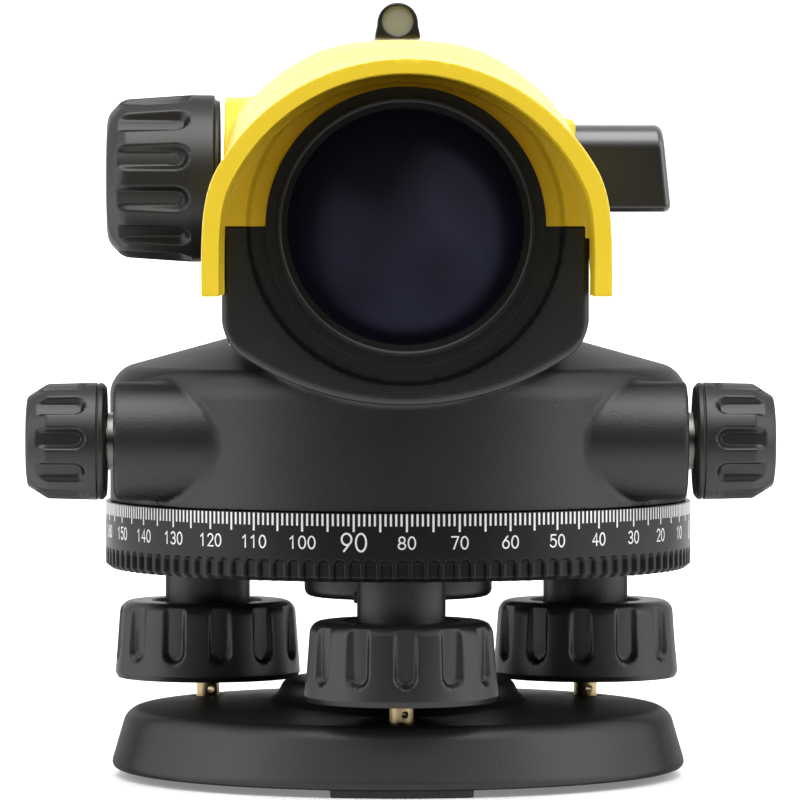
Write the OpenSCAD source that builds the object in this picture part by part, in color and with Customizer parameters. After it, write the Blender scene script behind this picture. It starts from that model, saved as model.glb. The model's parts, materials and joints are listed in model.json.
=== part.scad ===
// Automatic level: a telescope with a pendulum compensator, carried on a
// three-screw levelling base with a graduated horizontal circle.
// Frame: origin on the standing axis in the resting plane of the base pads,
// +Z up, objective towards -Y, eyepiece towards +Y. Millimetres.

/* [Levelling base] */
// Largest radius of the base plate
base_r = 45.9; // [45.5:0.1:46.5]
// Height of the top face of the base plate's rim
base_top_z = 10.3; // [10.2:0.1:10.6]
// Radius of the circle that the three foot screws stand on
foot_circle_r = 35.7; // [35.4:0.1:36]
// Height of the centres of the foot screws' ball ends
ball_z = 6.6; // [6.5:0.1:6.7]
// Largest radius of a foot screw's knob
foot_knob_r = 15.1; // [14.5:0.1:15.2]
// Radius of the tripod thread's wall (5/8 inch nominal)
tripod_thread_r = 7.94; // [7.9:0.01:8]

/* [Horizontal circle and drum] */
// Outer radius of the graduated ring
ring_r = 47; // [46.8:0.1:47.4]
// Lower edge of the graduated ring
ring_low_z = 33.5; // [33.2:0.1:33.8]
// Upper edge of the graduated ring
ring_high_z = 44; // [43.8:0.1:44.1]
// Number of finger notches round the ring
ring_notches = 120; // [60:10:120]
// Outer radius of the drum that covers the horizontal drive
drum_r = 46.3; // [46:0.1:46.6]

/* [Telescope] */
// Height of the line of sight
sight_z = 88.4; // [88.2:0.1:88.6]
// Half the width of the telescope housing
body_half_w = 27.3; // [27.2:0.1:27.4]
// Front face of the telescope housing
face_y = -80; // [-81:0.5:-80]
// Front edge of the sun hood
hood_y = -93; // [-94:0.5:-92]
// Rear face of the telescope housing
rear_y = 66; // [66:0.5:67]
// Outer radius of the objective cell
cell_r = 20.75; // [20.6:0.05:20.8]

/* [Controls] */
// Height of the focusing knob's axis
focus_z = 95.8; // [95.7:0.1:95.9]
// Position of the focusing knob's axis along the telescope
focus_y = -6; // [-6.5:0.5:-5.5]
// Largest radius of the focusing knob
focus_knob_r = 13.35; // [13:0.05:13.4]
// Height of the horizontal drive's shaft
drive_z = 54.6; // [54.6:0.1:54.7]
// Largest radius of a drive knob
drive_knob_r = 9.2; // [9:0.1:9.3]

/* [Hidden] */
$fn = 64;
eps = 0.01;
run_gap = 0.03;          // radial clearance of a running fit
wall = 2.3;              // casting wall
foot_angles = [-90, 30, 150];
wheel_teeth = 50;
gear_module = 0.9;
worm_r = 4.5;            // pitch radius of the worm
drive_y = -worm_r - wheel_teeth * gear_module / 2;
pinion_teeth = 12;
pinion_module = 0.5;
cover_z = sight_z;       // joint plane of the two housing halves
drum_low_z = 44.4;
drum_ceiling_z = 62;
drum_top_z = 70.6;       // top of the drum's sloping roof
trough_low_z = 61.8;     // bottom of the telescope housing
trough_rear_z = 64.5;
deck_z = 67.5;           // floor of the telescope trough
cover_r = 32;            // arch of the cover
cover_top_z = 118.4;
cover_rear_z = 111.5;
hood_half_w = 30.2;
hood_r = 31.9;           // arch of the sun hood
hood_top_z = 112.9;
hood_low_z = 78.2;       // lower ends of the hood's ears
hood_wall = 1.8;
seat_len = 20;           // depth of the objective's seat
step_r = 23.4;           // shallow step round the objective
eyepiece_bore_r = 13.9;
thread_bush_r = 11;
base_low_z = 1.2;        // underside of the base plate above its pads
knob_low_z = 14.4;
boss_low_z = 25.5;       // lower end of the head's screw bosses
arm_high_z = 39.8;
head_bush_r = 5.8;       // bore of those bosses
spindle_r = 7;           // standing spindle
axis_bush_r = 9;
neck_r = 11.8;           // neck of the head that carries the worm wheel
neck_step_z = 51.2;
pendulum_y = 37;
reticle_y = 56.9;
taper_y = 30;            // the housing narrows behind this
rear_half_w = 22.5;
rear_step_y = 57;        // the trough is shallower behind this
shaft_r = 3;             // shaft of the horizontal drive
focus_shaft_r = 2.5;
bush_r = 4.5;            // outside of the drive's and the focus's bushes
bearing_x = 28;          // inner ends of the drive's bearings
bush_end = 45.8;         // outer ends of their bushes
cover_screw_places = [[-23.6, -70], [23.6, -70], [-19, 57], [19, 57]];
spindle_screw_angles = [45 : 90 : 315];
spindle_screw_circle = 10.5;
spring_screw_angles = [-30, 90, 210];
spring_screw_circle = 20;
rack_pitch_z = focus_z - pinion_teeth * pinion_module / 2 - 0.1;
bubble_low_z = 90.4;
bubble_high_z = 104.5;
window_low = [31, 93.6];    // low corner of the level's window, (x, z)
window_high = [41, 103];
open_sight_z = 121.2;

// ---------- helpers ----------

// Turns a part drawn along +Z so that it lies along +X.
module along_x() { rotate([0, 90, 0]) children(); }

// Turns a part drawn along +Z so that it lies along +Y.
module along_y() { rotate([-90, 0, 0]) children(); }

// Extrudes a section drawn in (x, z) from y0 to y1.
module section_y(y0, y1) {
  translate([0, y1, 0]) rotate([90, 0, 0]) linear_extrude(y1 - y0) children();
}

// Extrudes a section drawn in (y, z) from x0 to x1.
module section_yz(x0, x1) {
  translate([x0, 0, 0]) rotate([90, 0, 90]) linear_extrude(x1 - x0) children();
}

// A ring or tube along +Z.
module tube(r_out, r_in, h) {
  difference() {
    cylinder(r = r_out, h = h);
    translate([0, 0, -1]) cylinder(r = r_in, h = h + 2);
  }
}

// A tube along Y, on the line of sight.
module sight_tube(r_out, r_in, y0, y1) {
  translate([0, y0, sight_z]) along_y() tube(r_out, r_in, y1 - y0);
}

// A cylinder along Y, on the line of sight.
module sight_rod(r, y0, y1) {
  translate([0, y0, sight_z]) along_y() cylinder(r = r, h = y1 - y0);
}

// A cylinder on the standing axis between two heights.
module cylinder_from(z0, z1, r) { translate([0, 0, z0]) cylinder(r = r, h = z1 - z0); }

// Places a copy of its children round the standing axis.
module around(angles, circle_r) {
  for (a = angles) rotate([0, 0, a]) translate([circle_r, 0, 0]) children();
}

// Places a copy of its children at each foot screw.
module at_feet(angles = foot_angles) { around(angles, foot_circle_r) children(); }

// Moves its children to the axis of the horizontal drive.
module drive_shaft_axis() { translate([0, drive_y, drive_z]) children(); }

// Moves its children to the axis of the focusing knob.
module focus_axis() { translate([0, focus_y, focus_z]) children(); }

// A box from its low corner to its high corner.
module box(low, high) { translate(low) cube(high - low); }

// A screw: head and shank along +Z, head first, with a hexagon socket.
module socket_screw(head_r, head_h, shank_r, shank_h) {
  difference() {
    union() {
      cylinder(r = head_r, h = head_h);
      cylinder(r = shank_r, h = head_h + shank_h);
    }
    translate([0, 0, -1]) cylinder(r = head_r * 0.5, h = 1 + head_h * 0.6, $fn = 6);
  }
}

// Outline of a spur gear with straight-sided teeth. The shares are the parts
// of a tooth's pitch that it takes up at its root and at its tip.
function gear_outline(teeth, r_root, r_tip, root_share, tip_share) = [
  for (i = [0 : teeth - 1], k = [0 : 3])
    let (
      pitch = 360 / teeth,
      r = (k == 0 || k == 3) ? r_root : r_tip,
      half = (k == 0 || k == 3) ? root_share / 2 : tip_share / 2,
      a = pitch * (i + (k < 2 ? -half : half))
    ) [r * cos(a), r * sin(a)]
];

// A finger groove's cutter along +Z: a rod with a tapered closed end.
module groove_cutter(r, h) {
  rotate_extrude() polygon([[0, 0], [r * 0.5, 0], [r, r * 0.9], [r, h], [0, h]]);
}

// A knob along +Z, wide end at z = 0, with finger grooves open at the far end
// and a blind bore for its shaft.
module grooved_knob(r, r_far, h, edge, bore_r, bore_h, grooves, groove_r, plain) {
  difference() {
    rotate_extrude() polygon([
      [0, 0], [r - 0.6, 0], [r, 0.6], [r, plain * 0.6], [r_far, h - edge],
      [r_far - edge * 0.35, h - edge * 0.3], [r_far - edge, h], [0, h]
    ]);
    translate([0, 0, -1]) cylinder(r = bore_r, h = bore_h + 1);
    for (i = [0 : grooves - 1]) rotate([0, 0, (i + 0.5) * 360 / grooves])
      translate([r + groove_r * 0.52, 0, plain]) groove_cutter(groove_r, h);
  }
}

// ---------- levelling base ----------

module base_plate() color("#3a3d40") {
  cup_pocket_r = 4.3;
  difference() {
    union() {
      rotate_extrude() polygon([
        [0, base_low_z], [base_r - 1.2, base_low_z], [base_r - 0.3, 1.9], [base_r, 3.2],
        [base_r - 2, base_top_z - 1.3], [base_r - 2.5, base_top_z - 0.4],
        [base_r - 3.6, base_top_z], [21.6, base_top_z + 0.1], [19.8, base_top_z + 1.2],
        [18.6, 15.2], [15.5, 16.3], [8, 17.2], [0, 17.2]
      ]);
      // rest pads under the foot screws
      for (a = foot_angles) rotate([0, 0, a - 14.5])
        rotate_extrude(angle = 29) translate([41, 0]) square([3.6, 2]);
    }
    // spring cavity: a disc and three arms
    difference() {
      translate([0, 0, base_low_z - eps]) cylinder(r = 30, h = 5.2);
      cylinder(r = 14, h = 20);
      around(spring_screw_angles, spring_screw_circle) translate([0, 0, 3.8]) cylinder(r = 3.2, h = 9);
    }
    for (a = foot_angles) rotate([0, 0, a]) box([28, -4.5, base_low_z - eps], [foot_circle_r, 4.5, 4.2]);
    at_feet() {
      translate([0, 0, base_low_z - eps]) cylinder(r = cup_pocket_r, h = 8);
      cylinder(r = 2.7, h = 20);
    }
    // seat of the tripod thread bush
    translate([0, 0, 1]) cylinder(r = thread_bush_r, h = 12.5);
    // screw holes of the retaining spring
    around(spring_screw_angles, spring_screw_circle) translate([0, 0, 3]) cylinder(r = 1.25, h = 5.3);
  }
}

module tripod_thread_bush() color("#b9a46a")
  tube(thread_bush_r, tripod_thread_r, 13.5);

// Star-shaped leaf spring that holds the three ball ends in the base plate.
module retaining_spring() color("#b8bcc0") difference() {
  translate([0, 0, 3.2]) linear_extrude(0.6) difference() {
    union() {
      circle(r = 24);
      for (a = foot_angles) rotate(a) {
        translate([0, -3.4]) square([foot_circle_r, 6.8]);
        translate([foot_circle_r, 0]) circle(r = 3.4);
      }
    }
    circle(r = 14.6);
    for (a = foot_angles) rotate(a) translate([foot_circle_r, 0]) circle(r = 1.6);
  }
  around(spring_screw_angles, spring_screw_circle) cylinder(r = 1.4, h = 9);
}

module retaining_spring_screws() color("#8d9094")
  around(spring_screw_angles, spring_screw_circle) translate([0, 0, 1.7])
    socket_screw(2.3, 1.5, 1.25, 5);

// One ball cup, centred on its ball.
module ball_cup() color("#d8d4c8") difference() {
  intersection() {
    sphere(r = 4);
    translate([0, 0, -2.2]) cylinder(r = 5, h = 4.4);
  }
  sphere(r = 2.65);
  cylinder(r = 2.5, h = 5);
}

module front_ball_cup() at_feet([-90]) translate([0, 0, ball_z]) ball_cup();

module rear_ball_cups() at_feet([30, 150]) translate([0, 0, ball_z]) ball_cup();

module foot_knob(angle) color("#35383b") at_feet([angle]) {
  recess_z = 22.8;
  difference() {
    translate([0, 0, knob_low_z]) rotate_extrude() polygon([
      [3, 0], [foot_knob_r - 1.6, 0], [foot_knob_r - 0.2, 0.9], [foot_knob_r, 2],
      [foot_knob_r - 0.6, 10.4], [foot_knob_r - 1.1, 11.7], [foot_knob_r - 2.4, 12.6], [3, 12.6]
    ]);
    translate([0, 0, recess_z]) cylinder(r = 8.6, h = 10);
    for (i = [0 : 11]) rotate([0, 0, i * 30 + 30])
      translate([foot_knob_r + 0.9, 0, knob_low_z + 3.2]) groove_cutter(2, 12);
  }
}

module foot_spindle(angle) color("#b9975a") at_feet([angle]) difference() {
  union() {
    translate([0, 0, ball_z]) sphere(r = 2.6);
    translate([0, 0, ball_z]) cylinder(r = 1.9, h = knob_low_z - ball_z);
    translate([0, 0, knob_low_z]) cylinder(r = 3, h = 34 - knob_low_z);
  }
  translate([-4, 0, 12.4]) along_x() cylinder(r = 0.55, h = 8);
}

// ---------- levelling head and horizontal circle ----------

module levelling_head() color("#2e3133") difference() {
  union() {
    translate([0, 0, 28.7]) rotate_extrude() polygon([
      [0, 0], [13.6, 0], [15.1, 1.4], [15.1, 14.5], [0, 14.5]
    ]);
    translate([0, 0, 38.6]) cylinder(r = 23.95, h = 4.6);
    for (a = foot_angles) rotate([0, 0, a]) box([0, -6.4, 34.2], [foot_circle_r, 6.4, arm_high_z]);
    at_feet() translate([0, 0, boss_low_z]) cylinder(r = 6.9, h = arm_high_z - boss_low_z);
    cylinder_from(43, neck_step_z, 14);
    cylinder_from(43, 58.6, neck_r);
  }
  cylinder_from(28, 33, 10.5);
  cylinder_from(30, 60, axis_bush_r);
  at_feet() cylinder_from(20, 45, head_bush_r);
}

module screw_bushes() color("#b9975a")
  at_feet() translate([0, 0, boss_low_z]) tube(head_bush_r, 4.7, arm_high_z - boss_low_z);

module axis_bush() color("#a8793f") translate([0, 0, 33]) tube(axis_bush_r, spindle_r + run_gap, 25.6);

module circle_brake_ring() color("#7c7f82") translate([0, 0, arm_high_z]) tube(31, 27, 0.7);

module clutch_washer() color("#9ea2a6") translate([0, 0, neck_step_z]) tube(17, neck_r, 0.5);

module graduated_ring() color("#1b1c1e") difference() {
  union() {
    translate([0, 0, ring_low_z]) rotate_extrude() polygon([
      [ring_r - 2.1, 0], [ring_r - 0.9, 0], [ring_r, 0.7],
      [ring_r, ring_high_z - ring_low_z], [ring_r - 2.1, ring_high_z - ring_low_z]
    ]);
    translate([0, 0, 40.6]) tube(ring_r - 1.5, 24, 1.8);
    translate([0, 0, 40.6]) tube(26.4, 24, 2.6);
  }
  for (i = [0 : ring_notches - 1]) rotate([0, 0, (i + 0.5) * 360 / ring_notches])
    box([ring_r - 0.7, -0.75, ring_low_z - 1], [ring_r + 1, 0.75, ring_low_z + 3.3]);
}

module worm_wheel() color("#a8793f") {
  face = 5.6;
  difference() {
    translate([0, 0, drive_z - face / 2]) linear_extrude(face)
      polygon(gear_outline(wheel_teeth, 21.6, 23.1, 0.42, 0.24));
    cylinder_from(40, 70, neck_r + run_gap);
    around([0 : 60 : 300], 16.8) cylinder_from(40, 70, 2.4);
  }
}

// ---------- housings ----------

// Section of the dark trough: straight sides and a bowed bottom.
module trough_section(bottom_z, inset = 0) {
  bow_r = 43.8;
  intersection() {
    translate([0, bottom_z + bow_r]) circle(r = bow_r - inset);
    translate([inset - body_half_w, bottom_z]) square([2 * (body_half_w - inset), cover_z - bottom_z]);
  }
}

// Section of the cover: straight sides under an arch.
module arch_section(half_w, r, top_z, low_z) {
  intersection() {
    translate([0, top_z - r]) circle(r = r, $fn = 96);
    translate([-half_w, low_z]) square([2 * half_w, 60]);
  }
}

// Plan outline of the telescope housing, narrower towards the eyepiece.
module plan_prism(y0, inset = 0) {
  w = body_half_w - inset;
  end_w = rear_half_w - inset;
  translate([0, 0, 60]) linear_extrude(70) polygon([
    [-w, y0], [w, y0], [w, taper_y], [end_w, rear_y - inset],
    [-end_w, rear_y - inset], [-w, taper_y]
  ]);
}

// The trough as a solid, or its inside when inset is the wall.
module trough(inset, y0, y1) {
  intersection() {
    union() {
      section_y(y0, rear_step_y - inset) trough_section(trough_low_z, inset);
      section_y(rear_step_y - inset - eps, y1) trough_section(trough_rear_z, inset);
    }
    plan_prism(y0, inset);
  }
}

// Cutters of the objective's seat, the shallow step round it and the eyepiece's seat.
module optical_seats() {
  sight_rod(cell_r + 0.05, face_y - 1, face_y + seat_len);
  sight_rod(step_r, face_y - 1, face_y + 2);
  sight_rod(eyepiece_bore_r, rear_y - 6, rear_y + 1);
}

module lower_housing() color("#34383c") {
  boss_r = 9.3;
  boss_end = 44.8;
  difference() {
    union() {
      difference() {
        union() {
          rotate_extrude() polygon([
            [0, drum_low_z], [drum_r, drum_low_z], [drum_r, 62.4], [drum_r - 0.5, 64.2],
            [drum_r - 1.8, 65.5], [26, drum_top_z], [0, drum_top_z]
          ]);
          trough(0, face_y, rear_y);
        }
        // drive chamber under the deck
        cylinder_from(drum_low_z - 1, drum_ceiling_z, drum_r - wall);
        // telescope trough above the deck
        intersection() {
          trough(wall, face_y + 18, rear_y - 4);
          box([-60, -100, deck_z], [60, 100, 100]);
        }
        box([wall - body_half_w, face_y + 18, cover_z - 1], [body_half_w - wall, taper_y, cover_z + 1]);
      }
      // drive bearings, outside and inside the drum
      for (x = [-boss_end, bearing_x]) intersection() {
        drive_shaft_axis() translate([x, 0, 0]) along_x() cylinder(r = boss_r, h = boss_end - bearing_x);
        box([-60, -60, drum_low_z], [60, 60, 64]);
      }
      // columns of the cover screws
      for (p = cover_screw_places) intersection() {
        translate([p[0], p[1], 60]) cylinder(r = 3.2, h = cover_z - 60);
        trough(0, face_y, rear_y);
      }
    }
    drive_shaft_axis() translate([-60, 0, 0]) along_x() cylinder(r = bush_r, h = 120);
    optical_seats();
    for (p = cover_screw_places) translate([p[0], p[1], 50]) {
      cylinder(r = 2.9, h = 23.5);
      cylinder(r = 1.6, h = 60);
    }
    around(spindle_screw_angles, spindle_screw_circle) cylinder_from(60, 65, 1.25);
  }
}

// The shell of the cover as a solid, or its inside when inset is the wall.
module cover_shell(y0, y1, inset) {
  intersection() {
    section_y(y0, y1)
      arch_section(body_half_w - inset, cover_r - inset, cover_top_z - inset, cover_z - inset);
    plan_prism(y0 - 5, inset);
    // side profile: low over the objective, level at the middle, falling to the rear
    section_yz(-40, 40) polygon([
      [hood_y, 60], [hood_y, hood_top_z - inset], [-76, hood_top_z - inset], [-22, cover_top_z - inset],
      [26, cover_top_z - inset], [rear_y, cover_rear_z - inset], [rear_y, 60]
    ]);
  }
}

module upper_cover() color("#f2d437") difference() {
  union() {
    difference() {
      union() {
        cover_shell(face_y, rear_y, 0);
        // pad of the focusing knob
        intersection() {
          translate([-27.7, focus_y, focus_z]) along_x() cylinder(r = 13, h = 12);
          box([-40, -40, cover_z], [0, 40, 120]);
        }
        // pad of the circular level
        box([15, -4, 92], [28.4, 20, 106.5]);
      }
      cover_shell(face_y + 4, rear_y - 4, wall);
    }
    // sun hood
    difference() {
      section_y(hood_y, face_y + 3) arch_section(hood_half_w, hood_r, hood_top_z, hood_low_z);
      section_y(hood_y - 1, face_y) arch_section(27.6, 27.7, hood_top_z - hood_wall, 70);
      box([-body_half_w, face_y - eps, 60], [body_half_w, face_y + 4, cover_z]);
    }
    for (p = cover_screw_places) translate([p[0], p[1], cover_z]) cylinder(r = 3, h = 6.5);
  }
  optical_seats();
  focus_axis() translate([-30, 0, 0]) along_x() cylinder(r = bush_r, h = 20);
  for (p = cover_screw_places) translate([p[0], p[1], 80]) cylinder(r = 1.5, h = 14);
  gasket_frame(-eps, 0.6, 0.65, 1.55);
}

// A thin frame round the joint of the two housing halves. low and high are its
// heights from the joint; outer and inner are its insets from the housing's plan.
module gasket_frame(low, high, outer, inner) {
  intersection() {
    difference() {
      plan_prism(face_y + outer, outer);
      plan_prism(face_y + inner, inner);
      sight_rod(step_r + 0.1, face_y - 1, face_y + 4);
      sight_rod(eyepiece_bore_r + 0.1, rear_y - 4, rear_y + 1);
    }
    box([-60, -100, cover_z + low], [60, 100, cover_z + high]);
  }
}

module housing_gasket() color("#202224") gasket_frame(0, 0.55, 0.7, 1.5);

module cover_screws() color("#8d9094")
  for (p = cover_screw_places) translate([p[0], p[1], 70.6]) socket_screw(2.7, 2.8, 1.5, 20);

// ---------- standing axis and horizontal drive ----------

module standing_spindle() color("#c9ccd0") difference() {
  union() {
    cylinder_from(30, 60, spindle_r);
    cylinder_from(59, drum_ceiling_z, 14);
  }
  around(spindle_screw_angles, spindle_screw_circle) cylinder_from(55, 65, 1.5);
}

module spindle_screws() color("#8d9094")
  around(spindle_screw_angles, spindle_screw_circle) cylinder_from(59, 64.9, 1.25);

module spindle_nut() color("#c9ccd0") translate([0, 0, 29.6]) difference() {
  cylinder(r = 9.8, h = 3, $fn = 6);
  translate([0, 0, -1]) cylinder(r = spindle_r, h = 5);
}

module drive_bushes() color("#cfd2d4") drive_shaft_axis()
  for (x = [-bush_end, bearing_x]) translate([x, 0, 0]) along_x()
    tube(bush_r, shaft_r + run_gap, bush_end - bearing_x);

module drive_shaft() color("#c9ccd0") drive_shaft_axis()
  translate([-57, 0, 0]) along_x() cylinder(r = shaft_r, h = 114);

// Single-start worm of five turns: a circle set off its axis and twisted along it.
module drive_worm() color("#c9ccd0") {
  turns = 5;
  worm_len = turns * PI * gear_module;
  drive_shaft_axis() translate([-worm_len / 2, 0, 0]) along_x() difference() {
    linear_extrude(worm_len, twist = -360 * turns, slices = 12 * turns, $fn = 18)
      translate([0, -0.75]) circle(r = worm_r - 0.15);
    translate([0, 0, -1]) cylinder(r = shaft_r, h = worm_len + 2);
  }
}

module drive_knob(side) color("#35383b") drive_shaft_axis()
  translate([side * 46, 0, 0]) rotate([0, side * 90, 0])
    grooved_knob(drive_knob_r, drive_knob_r - 0.9, 12.6, 2.6, shaft_r, 11, 10, 1.7, 4.6);

// ---------- objective and focusing ----------

module objective_cell() color("#1d1e20") difference() {
  sight_tube(cell_r, 17.4, face_y - 4, face_y + 18);
  // flared mouth
  translate([0, face_y - 4 - eps, sight_z]) along_y() cylinder(r1 = 19.1, r2 = 17.4, h = 4.2);
  sight_rod(18.5, face_y + 1, face_y + 19);
}

// Crown and flint elements of the objective, nested.
module objective_lens() color("#2a2a55", 0.6) {
  bend_r = 80;
  rim_r = 18.45;
  front = face_y + 1.2;
  back = face_y + 6.8;
  intersection() {
    sight_rod(rim_r, face_y + 0.6, back + 0.6);
    translate([0, front + bend_r, sight_z]) sphere(r = bend_r, $fn = 240);
    translate([0, back - bend_r, sight_z]) sphere(r = bend_r, $fn = 240);
  }
  difference() {
    sight_rod(rim_r, face_y + 4.8, face_y + 9.9);
    translate([0, back - bend_r, sight_z]) sphere(r = bend_r + 0.03, $fn = 240);
  }
}

module objective_retaining_ring() color("#2b2d30") sight_tube(18.5, 16.6, face_y + 10.05, face_y + 13);

// Fixed barrel that guides the focusing carriage, on two feet.
module telescope_tube() color("#3d4043") difference() {
  union() {
    sight_tube(14.4, 12.7, -42, 18);
    for (y = [-40, 10]) difference() {
      box([-11, y, deck_z], [11, y + 6, 78]);
      sight_rod(13, -50, 30);
    }
  }
  // slot for the rack
  box([-20, -32, sight_z + 0.2], [-5, 19, 94.6]);
}

module focus_carriage() color("#6d7074") {
  len = 24;
  bore_r = 10.1;
  y0 = focus_y - len / 2;
  pitch = PI * pinion_module;
  difference() {
    union() {
      sight_tube(12.65, bore_r, y0, y0 + len);
      box([-18, y0, 89.2], [-11.2, y0 + len, rack_pitch_z - 0.5]);
      // rack teeth, each a wedge along X
      for (i = [-7 : 6]) translate([-18, focus_y + (i + 0.5) * pitch, rack_pitch_z - 0.6])
        rotate([90, 0, 90]) linear_extrude(3.8) polygon([[-0.42, 0], [0.42, 0], [0.17, 1.0], [-0.17, 1.0]]);
    }
    sight_rod(bore_r, y0 - 1, y0 + len + 1);
  }
}

module focusing_lens() color("#9fb4c4", 0.5) difference() {
  sight_rod(10.05, focus_y - 2.6, focus_y + 2.6);
  for (y = [-26.5, 26.5]) translate([0, focus_y + y, sight_z]) sphere(r = 25, $fn = 96);
}

module focus_bush() color("#b9975a") focus_axis()
  translate([-27.6, 0, 0]) along_x() tube(bush_r, focus_shaft_r + run_gap, 7.4);

module focus_shaft() color("#c9ccd0") focus_axis() {
  translate([-45, 0, 0]) along_x() cylinder(r = focus_shaft_r, h = 26.4);
  translate([-18.8, 0, 0]) along_x() rotate([0, 0, 90])
    linear_extrude(5) polygon(gear_outline(pinion_teeth, 2.35, 3.4, 0.5, 0.18));
}

module focus_knob() color("#35383b") focus_axis()
  translate([-28.5, 0, 0]) rotate([0, -90, 0])
    grooved_knob(focus_knob_r, focus_knob_r - 0.9, 18, 2.6, focus_shaft_r, 16.5, 12, 2.1, 4.8);

// ---------- compensator ----------

module compensator_frame() color("#8f9396") difference() {
  union() {
    for (m = [0, 1]) mirror([m, 0, 0]) {
      box([8, 21, deck_z], [16, 53, deck_z + 2.5]);
      box([14, 24, deck_z], [16, 50, 107]);
      // shelves of the fixed prisms
      for (y = [24, 43]) box([9, y, 80], [14.5, y + 7, 82]);
    }
    box([-16, 33, 104.6], [16, 41, 107]);
  }
  for (x = [-12, 12], y = [23, 51]) translate([x, y, deck_z - 1]) cylinder(r = 1.3, h = 5);
}

// Two fixed prisms that send the light down to the pendulum and back up.
module compensator_prisms() color("#c4d6dc", 0.5) {
  section_yz(-9.8, 9.8) polygon([[24.5, 82.05], [35.5, 82.05], [24.5, 95.5]]);
  section_yz(-9.8, 9.8) polygon([[49.5, 82.05], [38.5, 82.05], [49.5, 95.5]]);
}

module damping_magnets() color("#54585c")
  for (y = [pendulum_y - 6.5, pendulum_y + 3.5]) box([-5, y, deck_z], [5, y + 3, deck_z + 3.6]);

module pendulum() color("#c2a25c") {
  difference() {
    box([-13, pendulum_y - 10, 71.6], [13, pendulum_y + 10, 78.5]);
    box([-9.2, pendulum_y - 8, 73.2], [9.2, pendulum_y + 8, 79]);
  }
  // damper vane between the magnets
  box([-4, pendulum_y - 1, 68.2], [4, pendulum_y + 1, 71.6]);
}

module pendulum_prism() color("#c4d6dc", 0.5)
  section_yz(-9.1, 9.1) polygon([
    [pendulum_y - 7.6, 78.2], [pendulum_y + 7.6, 78.2],
    [pendulum_y + 3.4, 73.3], [pendulum_y - 3.4, 73.3]
  ]);

// Four tapes from the frame's bridge down to the pendulum's corners.
module suspension_tapes() color("#d0d3d6")
  for (x = [-12.4, 11.4], y = [-3.5, 2.5])
    box([x, pendulum_y + y, 78.5], [x + 1, pendulum_y + y + 1, 104.3]);

// ---------- reticle and eyepiece ----------

module reticle_mount() color("#b9975a") difference() {
  union() {
    sight_tube(10.5, 6.2, 55, 58.5);
    box([-5, 55, deck_z], [5, 58.5, 79]);
  }
  sight_rod(7.6, 56, 58);
  for (a = [0, 90, 180, 270]) translate([0, reticle_y, sight_z]) rotate([0, a, 0])
    translate([0, 0, 6]) cylinder(r = 0.7, h = 6);
}

module reticle_glass() color("#d5e4ea", 0.5) sight_rod(7.5, 56.2, 57.6);

module reticle_screws() color("#8d9094")
  for (a = [90, 180, 270]) translate([0, reticle_y, sight_z]) rotate([0, a - 90, 0])
    translate([0, 0, 7.7]) cylinder(r = 0.65, h = 3.6);

module eyepiece_mount() color("#26282b") {
  bore_r = 11.6;
  sight_tube(17, bore_r, rear_y, rear_y + 2.6);
  sight_tube(13.85, bore_r, rear_y - 6, rear_y + 15);
}

module eyepiece_cell() color("#3d4043") difference() {
  sight_rod(11.55, 64, 84);
  sight_rod(9.2, 63, 81.5);
  sight_rod(7, 80, 85);
}

module eyepiece_lenses() color("#9fb4c4", 0.5) {
  intersection() {
    sight_rod(9.15, 65, 71);
    translate([0, 65.5 + 22, sight_z]) sphere(r = 22, $fn = 96);
  }
  intersection() {
    sight_rod(9.15, 75, 81.4);
    translate([0, 81.3 - 20, sight_z]) sphere(r = 20, $fn = 96);
  }
}

module diopter_ring() color("#303336") difference() {
  grooves = 24;
  sight_tube(16.2, eyepiece_bore_r, 69.2, 84);
  for (i = [0 : grooves - 1]) translate([0, 68, sight_z]) rotate([0, i * 360 / grooves, 0])
    translate([16.9, 3, 0]) along_y() groove_cutter(1.3, 10.5);
}

module eyecup() color("#1d1e20") translate([0, 84, sight_z]) along_y() rotate_extrude()
  polygon([
    [12.3, -2.5], [eyepiece_bore_r, -2.5], [eyepiece_bore_r, 0], [16, 0],
    [15.2, 9], [14.2, 13], [12.6, 13], [12.3, 9]
  ]);

// ---------- circular level ----------

// A square section with round corners, from corner low to corner high.
module round_section(low, high, r) {
  for (x = [low[0] + r, high[0] - r], y = [low[1] + r, high[1] - r]) translate([x, y]) circle(r = r);
  translate([low[0] + r, low[1]]) square([high[0] - low[0] - 2 * r, high[1] - low[1]]);
  translate([low[0], low[1] + r]) square([high[0] - low[0], high[1] - low[1] - 2 * r]);
}

module bubble_housing() color("#1f2123") difference() {
  section_yz(28.4, 43.8) round_section([-2, bubble_low_z], [18, bubble_high_z], 4);
  section_yz(28.3, 42.6) round_section([-0.8, bubble_low_z + 1.2], [16.8, bubble_high_z - 1.2], 2.8);
  // window towards the eyepiece
  box([window_low[0], 12, window_low[1]], [window_high[0], 30, window_high[1]]);
}

module bubble_vial() color("#a9c54a", 0.6) {
  translate([36, 6.5, 92.1]) cylinder(r = 5, h = 3.6);
  translate([36, 6.5, 95.7]) tube(5, 4.3, 0.8);
}

module bubble_prism() color("#c4d6dc", 0.5)
  section_yz(31.3, 40.7) polygon([[1, 96.9], [14.2, 96.9], [14.2, 102.6], [6.5, 102.6]]);

module bubble_window() color("#cfe0e4", 0.4)
  box([window_low[0], 16.85, window_low[1]], [window_high[0], 17.9, window_high[1]]);

// ---------- open sight ----------

// Places its children on the open sight's line, drawn along +Z, starting at y.
module sight_line(y) { translate([0, y, open_sight_z]) along_y() children(); }

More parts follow.
